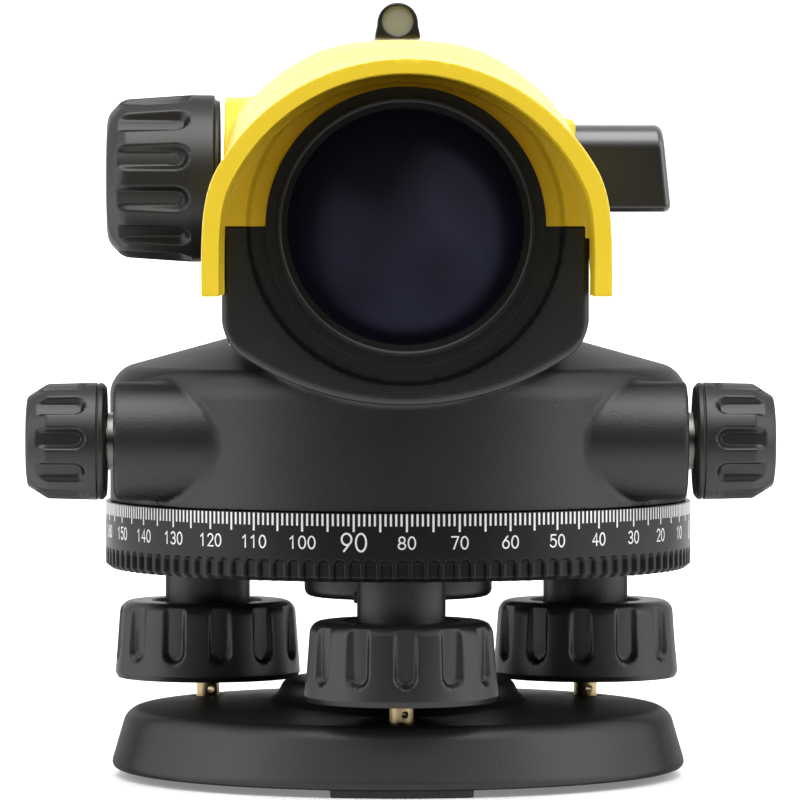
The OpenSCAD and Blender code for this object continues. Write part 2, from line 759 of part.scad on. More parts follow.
module sight_housing() color("#1f2123") difference() {
  intersection() {
    union() {
      translate([0, 4, open_sight_z - 0.4]) along_y() cylinder(r = 3.4, h = 22);
      box([-3.5, 4, cover_top_z - 1.4], [3.5, 26, open_sight_z - 0.4]);
    }
    box([-4, 0, cover_top_z + 0.05], [4, 30, 125]);
  }
  sight_line(3) cylinder(r = 2.65, h = 3);
  sight_line(3) cylinder(r = 1.6, h = 30);
  sight_line(24) cylinder(r = 2.2, h = 4);
}

module sight_lenses() color("#a7aaa2") {
  sight_line(4.5) cylinder(r = 2.6, h = 1.4);
  sight_line(24.1) cylinder(r = 2.15, h = 1.2);
}

// ---------- node table ----------

base_plate();
tripod_thread_bush();
retaining_spring();
retaining_spring_screws();
front_ball_cup();
rear_ball_cups();
foot_knob(-90);  // front_foot_knob
foot_spindle(-90);  // front_foot_spindle
foot_knob(30);  // right_foot_knob
foot_spindle(30);  // right_foot_spindle
foot_knob(150);  // left_foot_knob
foot_spindle(150);  // left_foot_spindle
levelling_head();
screw_bushes();
axis_bush();
circle_brake_ring();
clutch_washer();
graduated_ring();
worm_wheel();
lower_housing();
upper_cover();
housing_gasket();
cover_screws();
standing_spindle();
spindle_screws();
spindle_nut();
drive_bushes();
drive_shaft();
drive_worm();
drive_knob(-1);  // left_drive_knob
drive_knob(1);  // right_drive_knob
objective_cell();
objective_lens();
objective_retaining_ring();
telescope_tube();
focus_carriage();
focusing_lens();
focus_bush();
focus_shaft();
focus_knob();
compensator_frame();
compensator_prisms();
damping_magnets();
pendulum();
pendulum_prism();
suspension_tapes();
reticle_mount();
reticle_glass();
reticle_screws();
eyepiece_mount();
eyepiece_cell();
eyepiece_lenses();
diopter_ring();
eyecup();
bubble_housing();
bubble_vial();
bubble_prism();
bubble_window();
sight_housing();
sight_lenses();
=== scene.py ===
"""Looks of the automatic level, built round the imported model.

Shapes are worked out in millimetres in the model's frame and turned into metres when a mesh is made.
Castings and shells are distance fields, meshed and then moved onto the exact surface. Turned parts are
profiles revolved about an axis, with finger grooves cut into their walls by formula.
"""
import json
import math

import bpy
import numpy as np
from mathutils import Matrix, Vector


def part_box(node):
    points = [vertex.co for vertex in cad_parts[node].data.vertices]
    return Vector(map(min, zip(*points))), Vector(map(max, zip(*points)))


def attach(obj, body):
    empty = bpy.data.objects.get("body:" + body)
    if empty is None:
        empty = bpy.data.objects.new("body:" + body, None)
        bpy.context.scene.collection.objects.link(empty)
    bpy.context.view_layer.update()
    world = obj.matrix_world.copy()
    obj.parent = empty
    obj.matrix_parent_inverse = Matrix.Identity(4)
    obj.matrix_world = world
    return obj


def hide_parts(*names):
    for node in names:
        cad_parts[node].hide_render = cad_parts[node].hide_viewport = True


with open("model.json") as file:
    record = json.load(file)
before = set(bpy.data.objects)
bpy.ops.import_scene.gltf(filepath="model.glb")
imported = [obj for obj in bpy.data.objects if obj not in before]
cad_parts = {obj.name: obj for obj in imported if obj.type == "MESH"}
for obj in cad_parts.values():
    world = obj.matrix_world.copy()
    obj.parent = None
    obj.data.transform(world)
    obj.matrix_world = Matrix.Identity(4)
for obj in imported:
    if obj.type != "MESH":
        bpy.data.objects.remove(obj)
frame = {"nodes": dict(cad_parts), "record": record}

import openvdb
from mathutils import Vector

MM = 0.001
TAU = 2 * math.pi
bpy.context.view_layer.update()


# ---------- sizes taken from the frame ----------

def span(node):
    """Lowest and highest corner of a node, in millimetres."""
    low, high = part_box(node)
    return np.array(low) / MM, np.array(high) / MM


BASE_R = span("base_plate")[1][0]
FOOT_ANGLES = {"front": -90, "right": 30, "left": 150}
foot_low, foot_high = span("front_foot_knob")
FOOT_CIRCLE = -(foot_low[1] + foot_high[1]) / 2
FOOT_R = (foot_high[0] - foot_low[0]) / 2
FOOT_LOW, FOOT_HIGH = foot_low[2], foot_high[2]
ring_low, ring_high = span("graduated_ring")
RING_R, RING_LOW, RING_HIGH = ring_high[0], ring_low[2], ring_high[2]
drum_low, drum_high = span("lower_housing")
DRUM_R, DRUM_LOW, JOINT_Z = drum_high[0], drum_low[2], drum_high[2]
FACE_Y, REAR_Y = drum_low[1], drum_high[1]
cover_low, cover_high = span("upper_cover")
HOOD_Y, EAR_Z, COVER_TOP = cover_low[1], cover_low[2], cover_high[2]
HOOD_HALF = cover_high[0]
cell_low, cell_high = span("objective_cell")
CELL_R = cell_high[0]
SIGHT_Z = (cell_low[2] + cell_high[2]) / 2
focus_low, focus_high = span("focus_knob")
FOCUS_R = (focus_high[2] - focus_low[2]) / 2
FOCUS_Y, FOCUS_Z = (focus_low[1] + focus_high[1]) / 2, (focus_low[2] + focus_high[2]) / 2
drive_low, drive_high = span("right_drive_knob")
DRIVE_R = (drive_high[2] - drive_low[2]) / 2
DRIVE_Y, DRIVE_Z = (drive_low[1] + drive_high[1]) / 2, (drive_low[2] + drive_high[2]) / 2
bubble_low, bubble_high = span("bubble_housing")
sight_low, sight_high = span("sight_housing")
diopter_low, diopter_high = span("diopter_ring")
CUP_END = span("eyecup")[1][1]

# ---------- sizes of the looks, in millimetres ----------

BODY_HALF = 27.3  # half the width of the telescope housing
REAR_HALF = 22.5  # half its width at the rear
TAPER_Y = 30  # where it starts to narrow
WALL = 2.3  # thickness of the housings
RECESS_R = 23.9  # recess round the objective
RECESS_DEEP = 0.7
END_WALL = 4  # thickness of the front and rear walls
FRONT_BLOCK = 18  # length of the solid front of the lower housing
CELL_BORE_DEEP = 20  # bore for the objective cell
EYE_BORE_R = 13.9  # bore for the eyepiece mount
EYE_BORE_DEEP = 6
EYE_MOUNT_R = 13.85
OPEN_SIGHT_Z = 121.2  # line of sight of the open sight
COVER_SCREWS = ((23.6, -70), (19, 57))  # on the right, mirrored to the left
FOOT_GROOVES = 12
FOOT_TURNS = {"front": -88.1, "left": -81.3, "right": -95}  # degrees to the first groove
NOTCHES = 120


# ---------- distance fields ----------
# Each takes coordinates in millimetres and is negative inside.

def join(a, b, r=0.0):
    """Union with a fillet of radius r."""
    return np.maximum(r, np.minimum(a, b)) - np.hypot(np.maximum(r - a, 0), np.maximum(r - b, 0))


def common(a, b, r=0.0):
    """Intersection with an edge rounded to radius r."""
    return np.minimum(-r, np.maximum(a, b)) + np.hypot(np.maximum(r + a, 0), np.maximum(r + b, 0))


def meet(a, b, reach):
    """Intersection eased only where the two surfaces are within reach of each other."""
    return np.maximum(a, b) + np.maximum(reach - np.abs(a - b), 0) ** 2 / (4 * reach)


def cut(a, b, r=0.0):
    """a without b, with the edge rounded to radius r."""
    return common(a, -b, r)


def slab(v, low, high):
    """The space between two planes."""
    return np.maximum(low - v, v - high)


def block(x, y, z, low, high, r=0.0):
    """A box with rounded edges."""
    centre = (np.array(low) + np.array(high)) / 2
    half = (np.array(high) - np.array(low)) / 2 - r
    q = [np.abs(v - c) - h for v, c, h in zip((x, y, z), centre, half)]
    outside = np.sqrt(sum(np.maximum(v, 0) ** 2 for v in q))
    return outside + np.minimum(np.maximum(np.maximum(q[0], q[1]), q[2]), 0) - r


def rod(u, v, w, r, low, high, edge=0.0):
    """A cylinder along w whose section is in u, v."""
    return common(np.hypot(u, v) - r, slab(w, low, high), edge)


def eased(v, start, end):
    """0 before start, 1 after end, smooth between."""
    t = np.clip((v - start) / (end - start), 0, 1)
    return t * t * (3 - 2 * t)


def turned(x, y, angle):
    """Coordinates along and across a direction given in degrees from +X."""
    a = math.radians(angle)
    return x * math.cos(a) + y * math.sin(a), -x * math.sin(a) + y * math.cos(a)


# ---------- meshes ----------

def corner_normals(mesh, normals):
    """A normal for every face corner: the surface's, or the face's own beside a sharp edge."""
    corners = np.empty(len(mesh.loops), np.int32)
    sides = np.empty(len(mesh.polygons), np.int32)
    facing = np.empty(3 * len(mesh.polygons))
    mesh.loops.foreach_get("vertex_index", corners)
    mesh.polygons.foreach_get("loop_total", sides)
    mesh.polygons.foreach_get("normal", facing)
    own = np.repeat(facing.reshape(-1, 3), sides, axis=0)
    smooth = np.asarray(normals)[corners]
    beside = (smooth * own).sum(1) < 0.93
    smooth[beside] = own[beside]
    return smooth


def new_piece(name, points, faces, normals=None):
    """A mesh object from points in millimetres."""
    mesh = bpy.data.meshes.new(name)
    mesh.from_pydata((np.asarray(points) * MM).tolist(), [], [list(f) for f in faces])
    mesh.validate()
    piece = bpy.data.objects.new(name, mesh)
    bpy.context.scene.collection.objects.link(piece)
    mesh.shade_smooth()
    if normals is not None and len(mesh.vertices) == len(normals):
        mesh.normals_split_custom_set(corner_normals(mesh, normals).tolist())
    return piece


def gradient(field, p, step=0.02):
    """The field's value and slope at the points p."""
    value = field(p[:, 0], p[:, 1], p[:, 2])
    slope = np.empty_like(p)
    for axis in range(3):
        ahead = p.copy()
        behind = p.copy()
        ahead[:, axis] += step
        behind[:, axis] -= step
        slope[:, axis] = (field(*ahead.T) - field(*behind.T)) / (2 * step)
    return value, slope


def onto_surface(field, points, reach, rounds=3):
    """Moves points to the field's zero surface, by at most reach in each round."""
    for _ in range(rounds):
        value, slope = gradient(field, points)
        length2 = np.maximum((slope ** 2).sum(1), 0.25)
        points = points - np.clip(value / length2, -reach, reach)[:, None] * slope
    return points


def unit_slope(field, points, step):
    """The outward unit normals of the field at the points."""
    _, slope = gradient(field, points, step)
    return slope / np.maximum(np.linalg.norm(slope, axis=1), 1e-9)[:, None]


def fit_creases(field, points, polygons, cells, voxel):
    """Moves the points beside a sharp edge onto it, so that the edge runs as a clean line. Each such
    point goes where the tangent planes of the surface inside its own voxel come closest together."""
    normals = unit_slope(field, points, 0.04)
    beside = []
    for group in polygons:
        corners = normals[group]
        bend = (corners * np.roll(corners, 1, axis=1)).sum(2).min(1) if len(group) else np.array([])
        beside.append(group[bend < 0.86].ravel())
    beside = np.unique(np.concatenate(beside))
    if not len(beside):
        return points
    centre = cells[beside]
    steps = np.array([(0, 0, 0)] + [(i, j, k) for i in (-1, 1) for j in (-1, 1) for k in (-1, 1)])
    around = (centre[:, None] + 0.36 * voxel * steps).reshape(-1, 3)
    around = onto_surface(field, around, voxel, 2)
    normal = unit_slope(field, around, 0.02).reshape(-1, len(steps), 3)
    around = around.reshape(-1, len(steps), 3)
    inside = (np.abs(around - centre[:, None]).max(2) < 0.85 * voxel) + 1e-3
    mean = (around * inside[..., None]).sum(1) / inside.sum(1)[:, None]
    hold = 0.02 * inside.sum(1)
    weighted = normal * inside[..., None]
    left = np.einsum("mki,mkj->mij", weighted, normal) + hold[:, None, None] * np.eye(3)
    right = np.einsum("mki,mk->mi", weighted, (normal * around).sum(2)) + hold[:, None] * mean
    fitted = np.linalg.solve(left, right[..., None])[..., 0]
    points[beside] = mean + np.clip(fitted - mean, -voxel, voxel)
    return points


def cast(name, field, low, high, voxel):
    """Meshes a distance field inside a box, then moves every point onto the field's exact zero surface
    and its edges."""
    low = np.array(low, float) - 2.5 * voxel
    count = np.ceil((np.array(high, float) + 2.5 * voxel - low) / voxel).astype(int) + 1
    axes = [(low[i] + voxel * np.arange(count[i])) for i in range(3)]
    x, y, z = np.meshgrid(*axes, indexing="ij", sparse=True)
    values = np.broadcast_to(field(x, y, z), count).astype(np.float32)
    grid = openvdb.FloatGrid(3 * voxel)
    grid.copyFromArray(np.ascontiguousarray(np.clip(values, -3 * voxel, 3 * voxel)))
    points, triangles, quads = grid.convertToPolygons(0.0, 0.0)
    cells = (np.floor(points.astype(float)) + 0.5) * voxel + low
    points = onto_surface(field, points.astype(float) * voxel + low, voxel / 2)
    points = fit_creases(field, points, (quads, triangles), cells, voxel)
    return new_piece(name, points, quads.tolist() + triangles.tolist(), unit_slope(field, points, 0.04))


SUPPORT = 0.03  # distance of the points that hold the shading beside a sharp corner


def outline(corners, arc_steps=6):
    """Closed outline from corners (r, z, fillet radius). A fillet is an arc of short steps, and a sharp
    corner gets a close point on each side, so that the shading stays flat up to it."""
    out = []
    count = len(corners)
    for i, (r, z, fillet) in enumerate(corners):
        here = np.array([r, z], float)
        before = np.array(corners[i - 1][:2], float) - here
        after = np.array(corners[(i + 1) % count][:2], float) - here
        u = before / np.linalg.norm(before)
        v = after / np.linalg.norm(after)
        if fillet <= 0:
            out += [here + SUPPORT * u, here, here + SUPPORT * v]
            continue
        half = math.acos(float(np.clip(u @ v, -1, 1))) / 2
        reach = fillet / math.tan(half)
        centre = here + (u + v) / np.linalg.norm(u + v) * fillet / math.sin(half)
        start = here + u * reach - centre
        end = here + v * reach - centre
        turn = math.atan2(start[0] * end[1] - start[1] * end[0], float(start @ end))
        for k in range(arc_steps + 1):
            a = turn * k / arc_steps
            out.append(centre + [start[0] * math.cos(a) - start[1] * math.sin(a),
                                 start[0] * math.sin(a) + start[1] * math.cos(a)])
    return np.array(out)


def subdivide(rows, longest):
    """Splits the steps of a closed outline that are longer than longest."""
    out = []
    for a, b in zip(rows, np.roll(rows, -1, axis=0)):
        parts = max(1, math.ceil(np.linalg.norm(b - a) / longest))
        out += [a + (b - a) * k / parts for k in range(parts)]
    return np.array(out)


def signed_area(points):
    """Twice the area inside a closed outline, positive where it runs counter-clockwise."""
    p = np.asarray(points, float)
    return (p[:, 0] * np.roll(p[:, 1], -1) - np.roll(p[:, 0], -1) * p[:, 1]).sum()


FRAMES = {
    "+z": lambda p: p,
    "+x": lambda p: np.stack([p[:, 2], p[:, 1], -p[:, 0]], 1),
    "-x": lambda p: np.stack([-p[:, 2], p[:, 1], p[:, 0]], 1),
    "+y": lambda p: np.stack([p[:, 0], p[:, 2], -p[:, 1]], 1),
    "-y": lambda p: np.stack([p[:, 0], -p[:, 2], p[:, 1]], 1),
}


def face_normals(points, quads):
    """Area-weighted normals at the points of quads, which keep flat stretches flat beside fillets."""
    a = points[quads[:, 2]] - points[quads[:, 0]]
    b = points[quads[:, 3]] - points[quads[:, 1]]
    n = np.cross(a, b)
    n *= np.linalg.norm(n, axis=1)[:, None]
    total = np.zeros_like(points)
    for k in range(4):
        np.add.at(total, quads[:, k], n)
    length = np.linalg.norm(total, axis=1)
    total[length > 0] /= length[length > 0, None]
    return total


def revolve(name, rows, columns, axis="+z", at=(0, 0, 0), wall=None):
    """Turns a closed outline (r, z) about an axis. wall(r, z, angle) gives the radius after shaping.
    A row with no radius becomes a single point."""
    rows = np.asarray(rows, float)
    angle = np.arange(columns) * TAU / columns
    r = np.repeat(rows[:, :1], columns, 1)
    z = np.repeat(rows[:, 1:], columns, 1)
    if wall is not None:
        r = wall(r, z, np.broadcast_to(angle, r.shape))
    points = np.stack([r * np.cos(angle), r * np.sin(angle), z], -1)
    index, kept = [], []
    for row, corner in zip(points, rows):
        start = len(kept)
        if corner[0] < 1e-6:
            index.append([start] * columns)
            kept.append(row[0])
        else:
            index.append(list(range(start, start + columns)))
            kept.extend(row)
    index = np.array(index)
    below = np.roll(index, -1, axis=0)
    corners = [index, np.roll(index, -1, axis=1), np.roll(below, -1, axis=1), below]
    quads = np.stack(corners, -1).reshape(-1, 4)
    if signed_area(rows) < 0:
        quads = quads[:, ::-1]
    points = FRAMES[axis](np.array(kept)) + np.array(at, float)
    faces = [list(dict.fromkeys(q)) for q in quads.tolist()]
    return new_piece(name, points, [f for f in faces if len(f) > 2], face_normals(points, quads))


def flutes(count, width, floor_r, start_z, turn=0.0, edge=0.8):
    """A wall with finger grooves down to the radius floor_r, round at start_z and open at the far end.
    turn is the angle of the first groove, and edge the width of a groove's sloping sides."""
    pitch = TAU / count

    def wall(r, z, angle):
        off = (angle - turn + pitch / 2) % pitch - pitch / 2
        before = np.maximum(start_z + width / 2 - z, 0)
        reach = width / 2 - np.hypot(off * (floor_r + 1), before)
        depth = np.maximum(r - floor_r, 0)
        return r - depth * eased(reach, -0.12, edge)
    return wall


# ---------- materials ----------

def fill(node, values):
    """Sets the inputs of a node, by name or number."""
    for socket, value in values.items():
        node.inputs[socket].default_value = value


def add_node(tree, kind, values=None, **settings):
    """A shader node with its settings and the values of its inputs."""
    node = tree.nodes.new("ShaderNode" + kind)
    for name, value in settings.items():
        setattr(node, name, value)
    fill(node, values or {})
    return node


def graded(tree, source, start, end, low=0.0, high=1.0, blend="SMOOTHSTEP"):
    """A value that goes from low to high while the source goes from start to end."""
    values = {"From Min": start, "From Max": end, "To Min": low, "To Max": high}
    node = add_node(tree, "MapRange", values, interpolation_type=blend)
    tree.links.new(source, node.inputs["Value"])
    return node.outputs["Result"]


def noise(tree, place, size, detail):
    """Soft noise whose patches are about size millimetres across."""
    node = add_node(tree, "TexNoise", {"Scale": 1 / (size * MM), "Detail": detail})
    tree.links.new(place, node.inputs["Vector"])
    return node.outputs["Fac"]


def mixed(tree, factor, first, second):
    """The first colour, which may be a socket, where the factor is 0 and the second where it is 1."""
    node = add_node(tree, "Mix", {"B": second}, data_type="RGBA")
    tree.links.new(factor, node.inputs["Factor"])
    if isinstance(first, bpy.types.NodeSocket):
        tree.links.new(first, node.inputs["A"])
    else:
        node.inputs["A"].default_value = first
    return node.outputs["Result"]


def vector_maths(tree, operation, source, other=(0, 0, 0)):
    """The outputs of a vector operation on a socket and a fixed vector."""
    node = add_node(tree, "VectorMath", {1: other}, operation=operation)
    tree.links.new(source, node.inputs[0])
    return node.outputs


def add_grain(tree, shader, place, strength, size):
    """Fine bumps over the surface."""
    bump = add_node(tree, "Bump", {"Strength": strength, "Distance": 0.05 * MM})
    tree.links.new(noise(tree, place, size, 3), bump.inputs["Height"])
    tree.links.new(bump.outputs["Normal"], shader.inputs["Normal"])


def new_material(name):
    """A material, its node tree and its shader."""
    mat = bpy.data.materials.new(name)
    mat.use_nodes = True
    return mat, mat.node_tree, mat.node_tree.nodes["Principled BSDF"]


def material(name, colour, roughness, metallic=0.0, grain=0.0, grain_size=0.35, spots=0.06, coat=0.0,
             painted_edge_light=None, gloss=0.5, graze=1.0):
    """A procedural finish: colour with slow variation, fine grain as bumps, and convex edges painted
    lighter, a painted highlight.
    graze is the share of the gloss left where the surface is seen edge-on, low for rough paint."""
    mat, tree, shader = new_material(name)
    fill(shader, {"Metallic": metallic, "Specular IOR Level": gloss})
    fill(shader, {"Coat Weight": coat, "Coat Roughness": 0.25})
    if graze < 1:
        edge_on = add_node(tree, "LayerWeight").outputs["Facing"]
        level = graded(tree, edge_on, 0.3, 0.66, gloss, gloss * graze)
        tree.links.new(level, shader.inputs["Specular IOR Level"])
    place = add_node(tree, "TexCoord").outputs["Object"]
    drift = noise(tree, place, 9, 4)
    darker = [c * (1 - spots) for c in colour] + [1]
    lighter = [min(1, c * (1 + spots)) for c in colour] + [1]
    result = mixed(tree, drift, darker, lighter)
    # painted highlight: convex edges, found by pointiness, get a lighter colour
    if painted_edge_light:
        pointed = add_node(tree, "NewGeometry").outputs["Pointiness"]
        edge = graded(tree, pointed, 0.54, 0.64, 0, 0.5, blend="LINEAR")
        result = mixed(tree, edge, result, list(painted_edge_light) + [1])
    tree.links.new(result, shader.inputs["Base Color"])
    polish = graded(tree, drift, 0, 1, roughness - 0.05, roughness + 0.05, blend="LINEAR")
    tree.links.new(polish, shader.inputs["Roughness"])
    if grain:
        add_grain(tree, shader, place, grain, grain_size)
    return mat


def glass_material(name, colour, opacity=0.0):
    """Clear glass. opacity mixes in a plain body colour."""
    mat, _, shader = new_material(name)
    fill(shader, {"Base Color": list(colour) + [1], "Roughness": 0.02, "IOR": 1.5})
    fill(shader, {"Transmission Weight": 1 - opacity})
    return mat


def coated_material():
    """The objective's front: dark blue, with a broad violet sheen painted into its colour, a painted
    reflection that fades to a darker rim.
    """
    mat, tree, shader = new_material("coated_glass")
    place = add_node(tree, "TexCoord").outputs["Object"]
    centre = (0.3 * MM, 0, (SIGHT_Z - 1.4) * MM)
    offset = vector_maths(tree, "SUBTRACT", place, centre)["Vector"]
    sideways = vector_maths(tree, "MULTIPLY", offset, (1, 0, 1))["Vector"]
    radius = vector_maths(tree, "LENGTH", sideways)["Value"]
    # painted reflection: the violet sheen is painted into the base colour, lighter towards one side and
    # patchy with noise
    lit = vector_maths(tree, "DOT_PRODUCT", offset, (0.014 / MM, 0, -0.006 / MM))["Value"]
    total = add_node(tree, "Math", operation="ADD")
    tree.links.new(noise(tree, place, 16, 1), total.inputs[0])
    tree.links.new(lit, total.inputs[1])
    sheen = add_node(tree, "ValToRGB")
    dark_stop, light_stop = sheen.color_ramp.elements
    dark_stop.position, light_stop.position = 0.3, 0.7
    dark_stop.color = (0.011, 0.011, 0.0165, 1)
    light_stop.color = (0.035, 0.036, 0.064, 1)
    tree.links.new(total.outputs["Value"], sheen.inputs["Fac"])
    # the painted sheen gives way to a darker colour near the rim, where the reflection fades
    rim = graded(tree, radius, 12.6 * MM, 15.4 * MM)
    result = mixed(tree, rim, sheen.outputs["Color"], (0.008, 0.0084, 0.015, 1))
    tree.links.new(result, shader.inputs["Base Color"])
    fill(shader, {"Roughness": 0.08, "IOR": 1.25, "Specular Tint": (0.5, 0.5, 1, 1)})
    return mat


# colour and roughness of each finish, and what sets it apart
PLAIN = {
    # painted_edge_light is a lighter colour painted on convex edges, a painted highlight
    "base_paint": ((0.0125, 0.0125, 0.0123), 0.44, dict(
        grain=0.9, spots=0.1, painted_edge_light=(0.03, 0.03, 0.03), graze=0.03)),
    "drum_paint": ((0.0108, 0.0124, 0.0128), 0.4, dict(
        grain=0.9, spots=0.1, painted_edge_light=(0.03, 0.031, 0.032), graze=0.03)),
    "knob_plastic": ((0.012, 0.0121, 0.0113), 0.38, dict(
        grain=0.25, grain_size=0.22, painted_edge_light=(0.026, 0.026, 0.025), graze=0.12)),
    "black_plastic": ((0.01, 0.01, 0.0095), 0.26, dict(grain=0.12, grain_size=0.2)),
    "polished_plastic": ((0.009, 0.009, 0.0085), 0.3, dict(
        grain=0.1, grain_size=0.2, coat=0.6, gloss=0.9)),
    "cover_plastic": ((0.86, 0.61, 0.029), 0.36, dict(
        grain=0.1, grain_size=0.25, spots=0.02, coat=0.1, graze=0.45)),
    "ring_black": ((0.006, 0.006, 0.0063), 0.36, dict(
        grain=0.1, grain_size=0.15, gloss=0.28, graze=0.3)),
    "black_metal": ((0.0055, 0.0054, 0.0052), 0.42, dict(
        grain=0.1, grain_size=0.15, gloss=0.3, graze=0.3)),
    "mark_white": ((0.8, 0.81, 0.8), 0.5, dict(spots=0.04)),
    "aluminium": ((0.6, 0.61, 0.63), 0.35, dict(metallic=1, grain=0.15)),
    "steel": ((0.22, 0.22, 0.2), 0.34, dict(metallic=1, grain=0.1, grain_size=0.12)),
    "spring_steel": ((0.5, 0.5, 0.5), 0.3, dict(metallic=1, grain=0.1)),
    "brass": ((0.43, 0.33, 0.18), 0.3, dict(metallic=1, grain=0.15, spots=0.1)),
    "nylon": ((0.7, 0.68, 0.6), 0.5, dict(grain=0.1)),
    "rubber": ((0.011, 0.011, 0.011), 0.6, dict(grain=0.35, grain_size=0.3)),
    "magnet": ((0.15, 0.15, 0.16), 0.5, dict(metallic=0.6)),
    "sight_disc": ((0.215, 0.235, 0.215), 0.3, dict(coat=0.3)),
}
FINISH = {name: material(name, colour, rough, **more) for name, (colour, rough, more) in PLAIN.items()}
FINISH["glass"] = glass_material("glass", (0.93, 0.97, 0.98))
FINISH["vial"] = glass_material("vial", (0.62, 0.78, 0.2), opacity=0.35)
FINISH["coated_glass"] = coated_material()


def dress(piece, finish, body, *nodes, slot=None):
    """Gives a piece its finish, makes it ride on its body and stand for the nodes it replaces."""
    piece.data.materials.clear()
    piece.data.materials.append(FINISH[finish])
    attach(piece, body)
    if nodes:
        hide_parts(*nodes)
    return piece


def dress_nodes():
    """The CAD nodes that stay take the finish of their own slot."""
    slot_of = {s["node"]: s["material_slot"] for s in frame["record"]["subparts"]}
    for name, node in frame["nodes"].items():
        node.data.materials.clear()
        node.data.materials.append(FINISH[slot_of[name]])


# ---------- levelling base ----------

FEET = {name: (FOOT_CIRCLE * math.cos(math.radians(a)), FOOT_CIRCLE * math.sin(math.radians(a)))
        for name, a in FOOT_ANGLES.items()}


def foot_radius(x, y):
    """Distance from the axis of the nearest foot screw."""
    return np.minimum.reduce([np.hypot(x - px, y - py) for px, py in FEET.values()])


def towards_feet(x, y):
    """For each foot screw, the distances along and across the line to it from the middle."""
    return [((x * px + y * py) / FOOT_CIRCLE, np.abs(x * py - y * px) / FOOT_CIRCLE)
            for px, py in FEET.values()]


def base_plate_field(x, y, z):
    """A shallow round plate with a low hub, three rest pads and a ribbed hollow below."""
    r = np.hypot(x, y)
    lean = 0.29
    side = (r - BASE_R + lean * (z - 2.8)) / math.hypot(1, lean)
    top = 10.9 + 0.06 * np.clip(43 - r, 0, 25)
    plate = common(common(side, 1.2 - z, 1.5), z - top, 2.0)
    dome_r = 89.5
    dome = np.sqrt(x * x + y * y + (z - 17.2 + dome_r) ** 2) - dome_r
    hub = common((r - 19.4 + 0.12 * (z - 10)), common(dome, 8 - z), 1.3)
    body = join(plate, hub, 2.2)
    third = TAU / 3
    turn = np.abs((np.arctan2(y, x) + TAU / 4 + third / 2) % third - third / 2)
    pads = common(common(slab(r, 41, 44.6), slab(z, 0, 3), 0.3), r * (turn - math.radians(14.5)), 0.3)
    body = np.minimum(body, pads)
    cavity = common(slab(r, 14, 30), z - 6.4, 0.6)
    for along, across in towards_feet(x, y):
        cavity = cut(cavity, common(np.hypot(along + 20, across) - 3.2, 3.8 - z))
    for along, across in towards_feet(x, y):
        cavity = np.minimum(cavity, common(common(slab(along, 28, FOOT_CIRCLE), across - 4.5), z - 4.2))
    cavity = np.minimum(cavity, common(foot_radius(x, y) - 4.3, z - 9.2))
    cavity = np.minimum(cavity, common(r - 11.05, z - 13.6))
    body = cut(body, foot_radius(x, y) - 2.7, 0.35)
    return cut(body, cavity, 0.2)


def build_base():
    low, high = [-BASE_R, -BASE_R, 0], [BASE_R, BASE_R, 17.4]
    plate = cast("base_plate_casting", base_plate_field, low, high, 0.55)
    dress(plate, "base_paint", "base", "base_plate")


def build_foot_screws():
    height = FOOT_HIGH - FOOT_LOW
    rows = subdivide(outline([
        (3.05, 0, 0), (FOOT_R - 0.4, 0, 0.3), (FOOT_R, 0.9, 0.5), (FOOT_R - 0.85, height, 2.1),
        (9.1, height, 0.35), (8.6, height - 4.2, 0.4), (3.05, height - 4.2, 0),
    ], 7), 0.42)
    for name, (px, py) in FEET.items():
        turn = math.radians(FOOT_TURNS[name])
        grooved = flutes(FOOT_GROOVES, 4.0, FOOT_R - 1.25, 2.9, turn, edge=0.75)
        knob = revolve(name + "_foot_knob_moulding", rows, FOOT_GROOVES * 32, at=(px, py, FOOT_LOW),
                       wall=grooved)
        dress(knob, "knob_plastic", name + "_foot_screw", name + "_foot_knob")


def head_field(x, y, z):
    """A hub and a flange, with three arms that end in the sleeves of the foot screws."""
    r = np.hypot(x, y)
    body = common(r - 15.1, slab(z, 28.7, 44), 1.3)
    body = np.minimum(body, common(r - 23.9, slab(z, 38.6, 43.2), 0.3))
    for along, across in towards_feet(x, y):
        arm = common(common(slab(along, 0, FOOT_CIRCLE), across - 6.4), slab(z, 34.2, 39.8), 0.5)
        body = join(body, arm, 0.8)
    body = join(body, common(foot_radius(x, y) - 6.9, slab(z, 25.5, 39.8), 0.5), 0.8)
    # stop tab under the hub
    body = join(body, block(x, y, z, [-7.2, -14.4, 28.3], [-5.8, -11, 30], 0.2), 0.1)
    body = np.minimum(body, common(r - 14, slab(z, 43, 51.2), 0.3))
    body = np.minimum(body, common(r - 11.75, slab(z, 43, 58.6), 0.3))
    body = cut(body, foot_radius(x, y) - 5.85, 0.3)
    body = cut(body, common(r - 10.5, z - 33), 0.4)
    return cut(body, r - 9.05)


def build_head():
    casting = cast("levelling_head_casting", head_field, [-42, -43, 25.5], [42, 25, 58.6], 0.55)
    dress(casting, "base_paint", "levelling_head", "levelling_head")


# ---------- graduated circle ----------

def ring_wall(r, z, angle):
    """Ribs round the lower edge, between notches with round tops."""
    pitch = TAU / NOTCHES
    across = np.abs((angle + pitch / 2) % pitch - pitch / 2) * RING_R
    half, top = 0.74, RING_LOW + 3.35
    above = np.maximum(z - (top - half), 0)
    reach = np.hypot(across, above) - half
    depth = 0.6 * np.clip(0.5 - reach / 0.24, 0, 1)
    return np.where(r > RING_R - 1.2, r - depth, r)


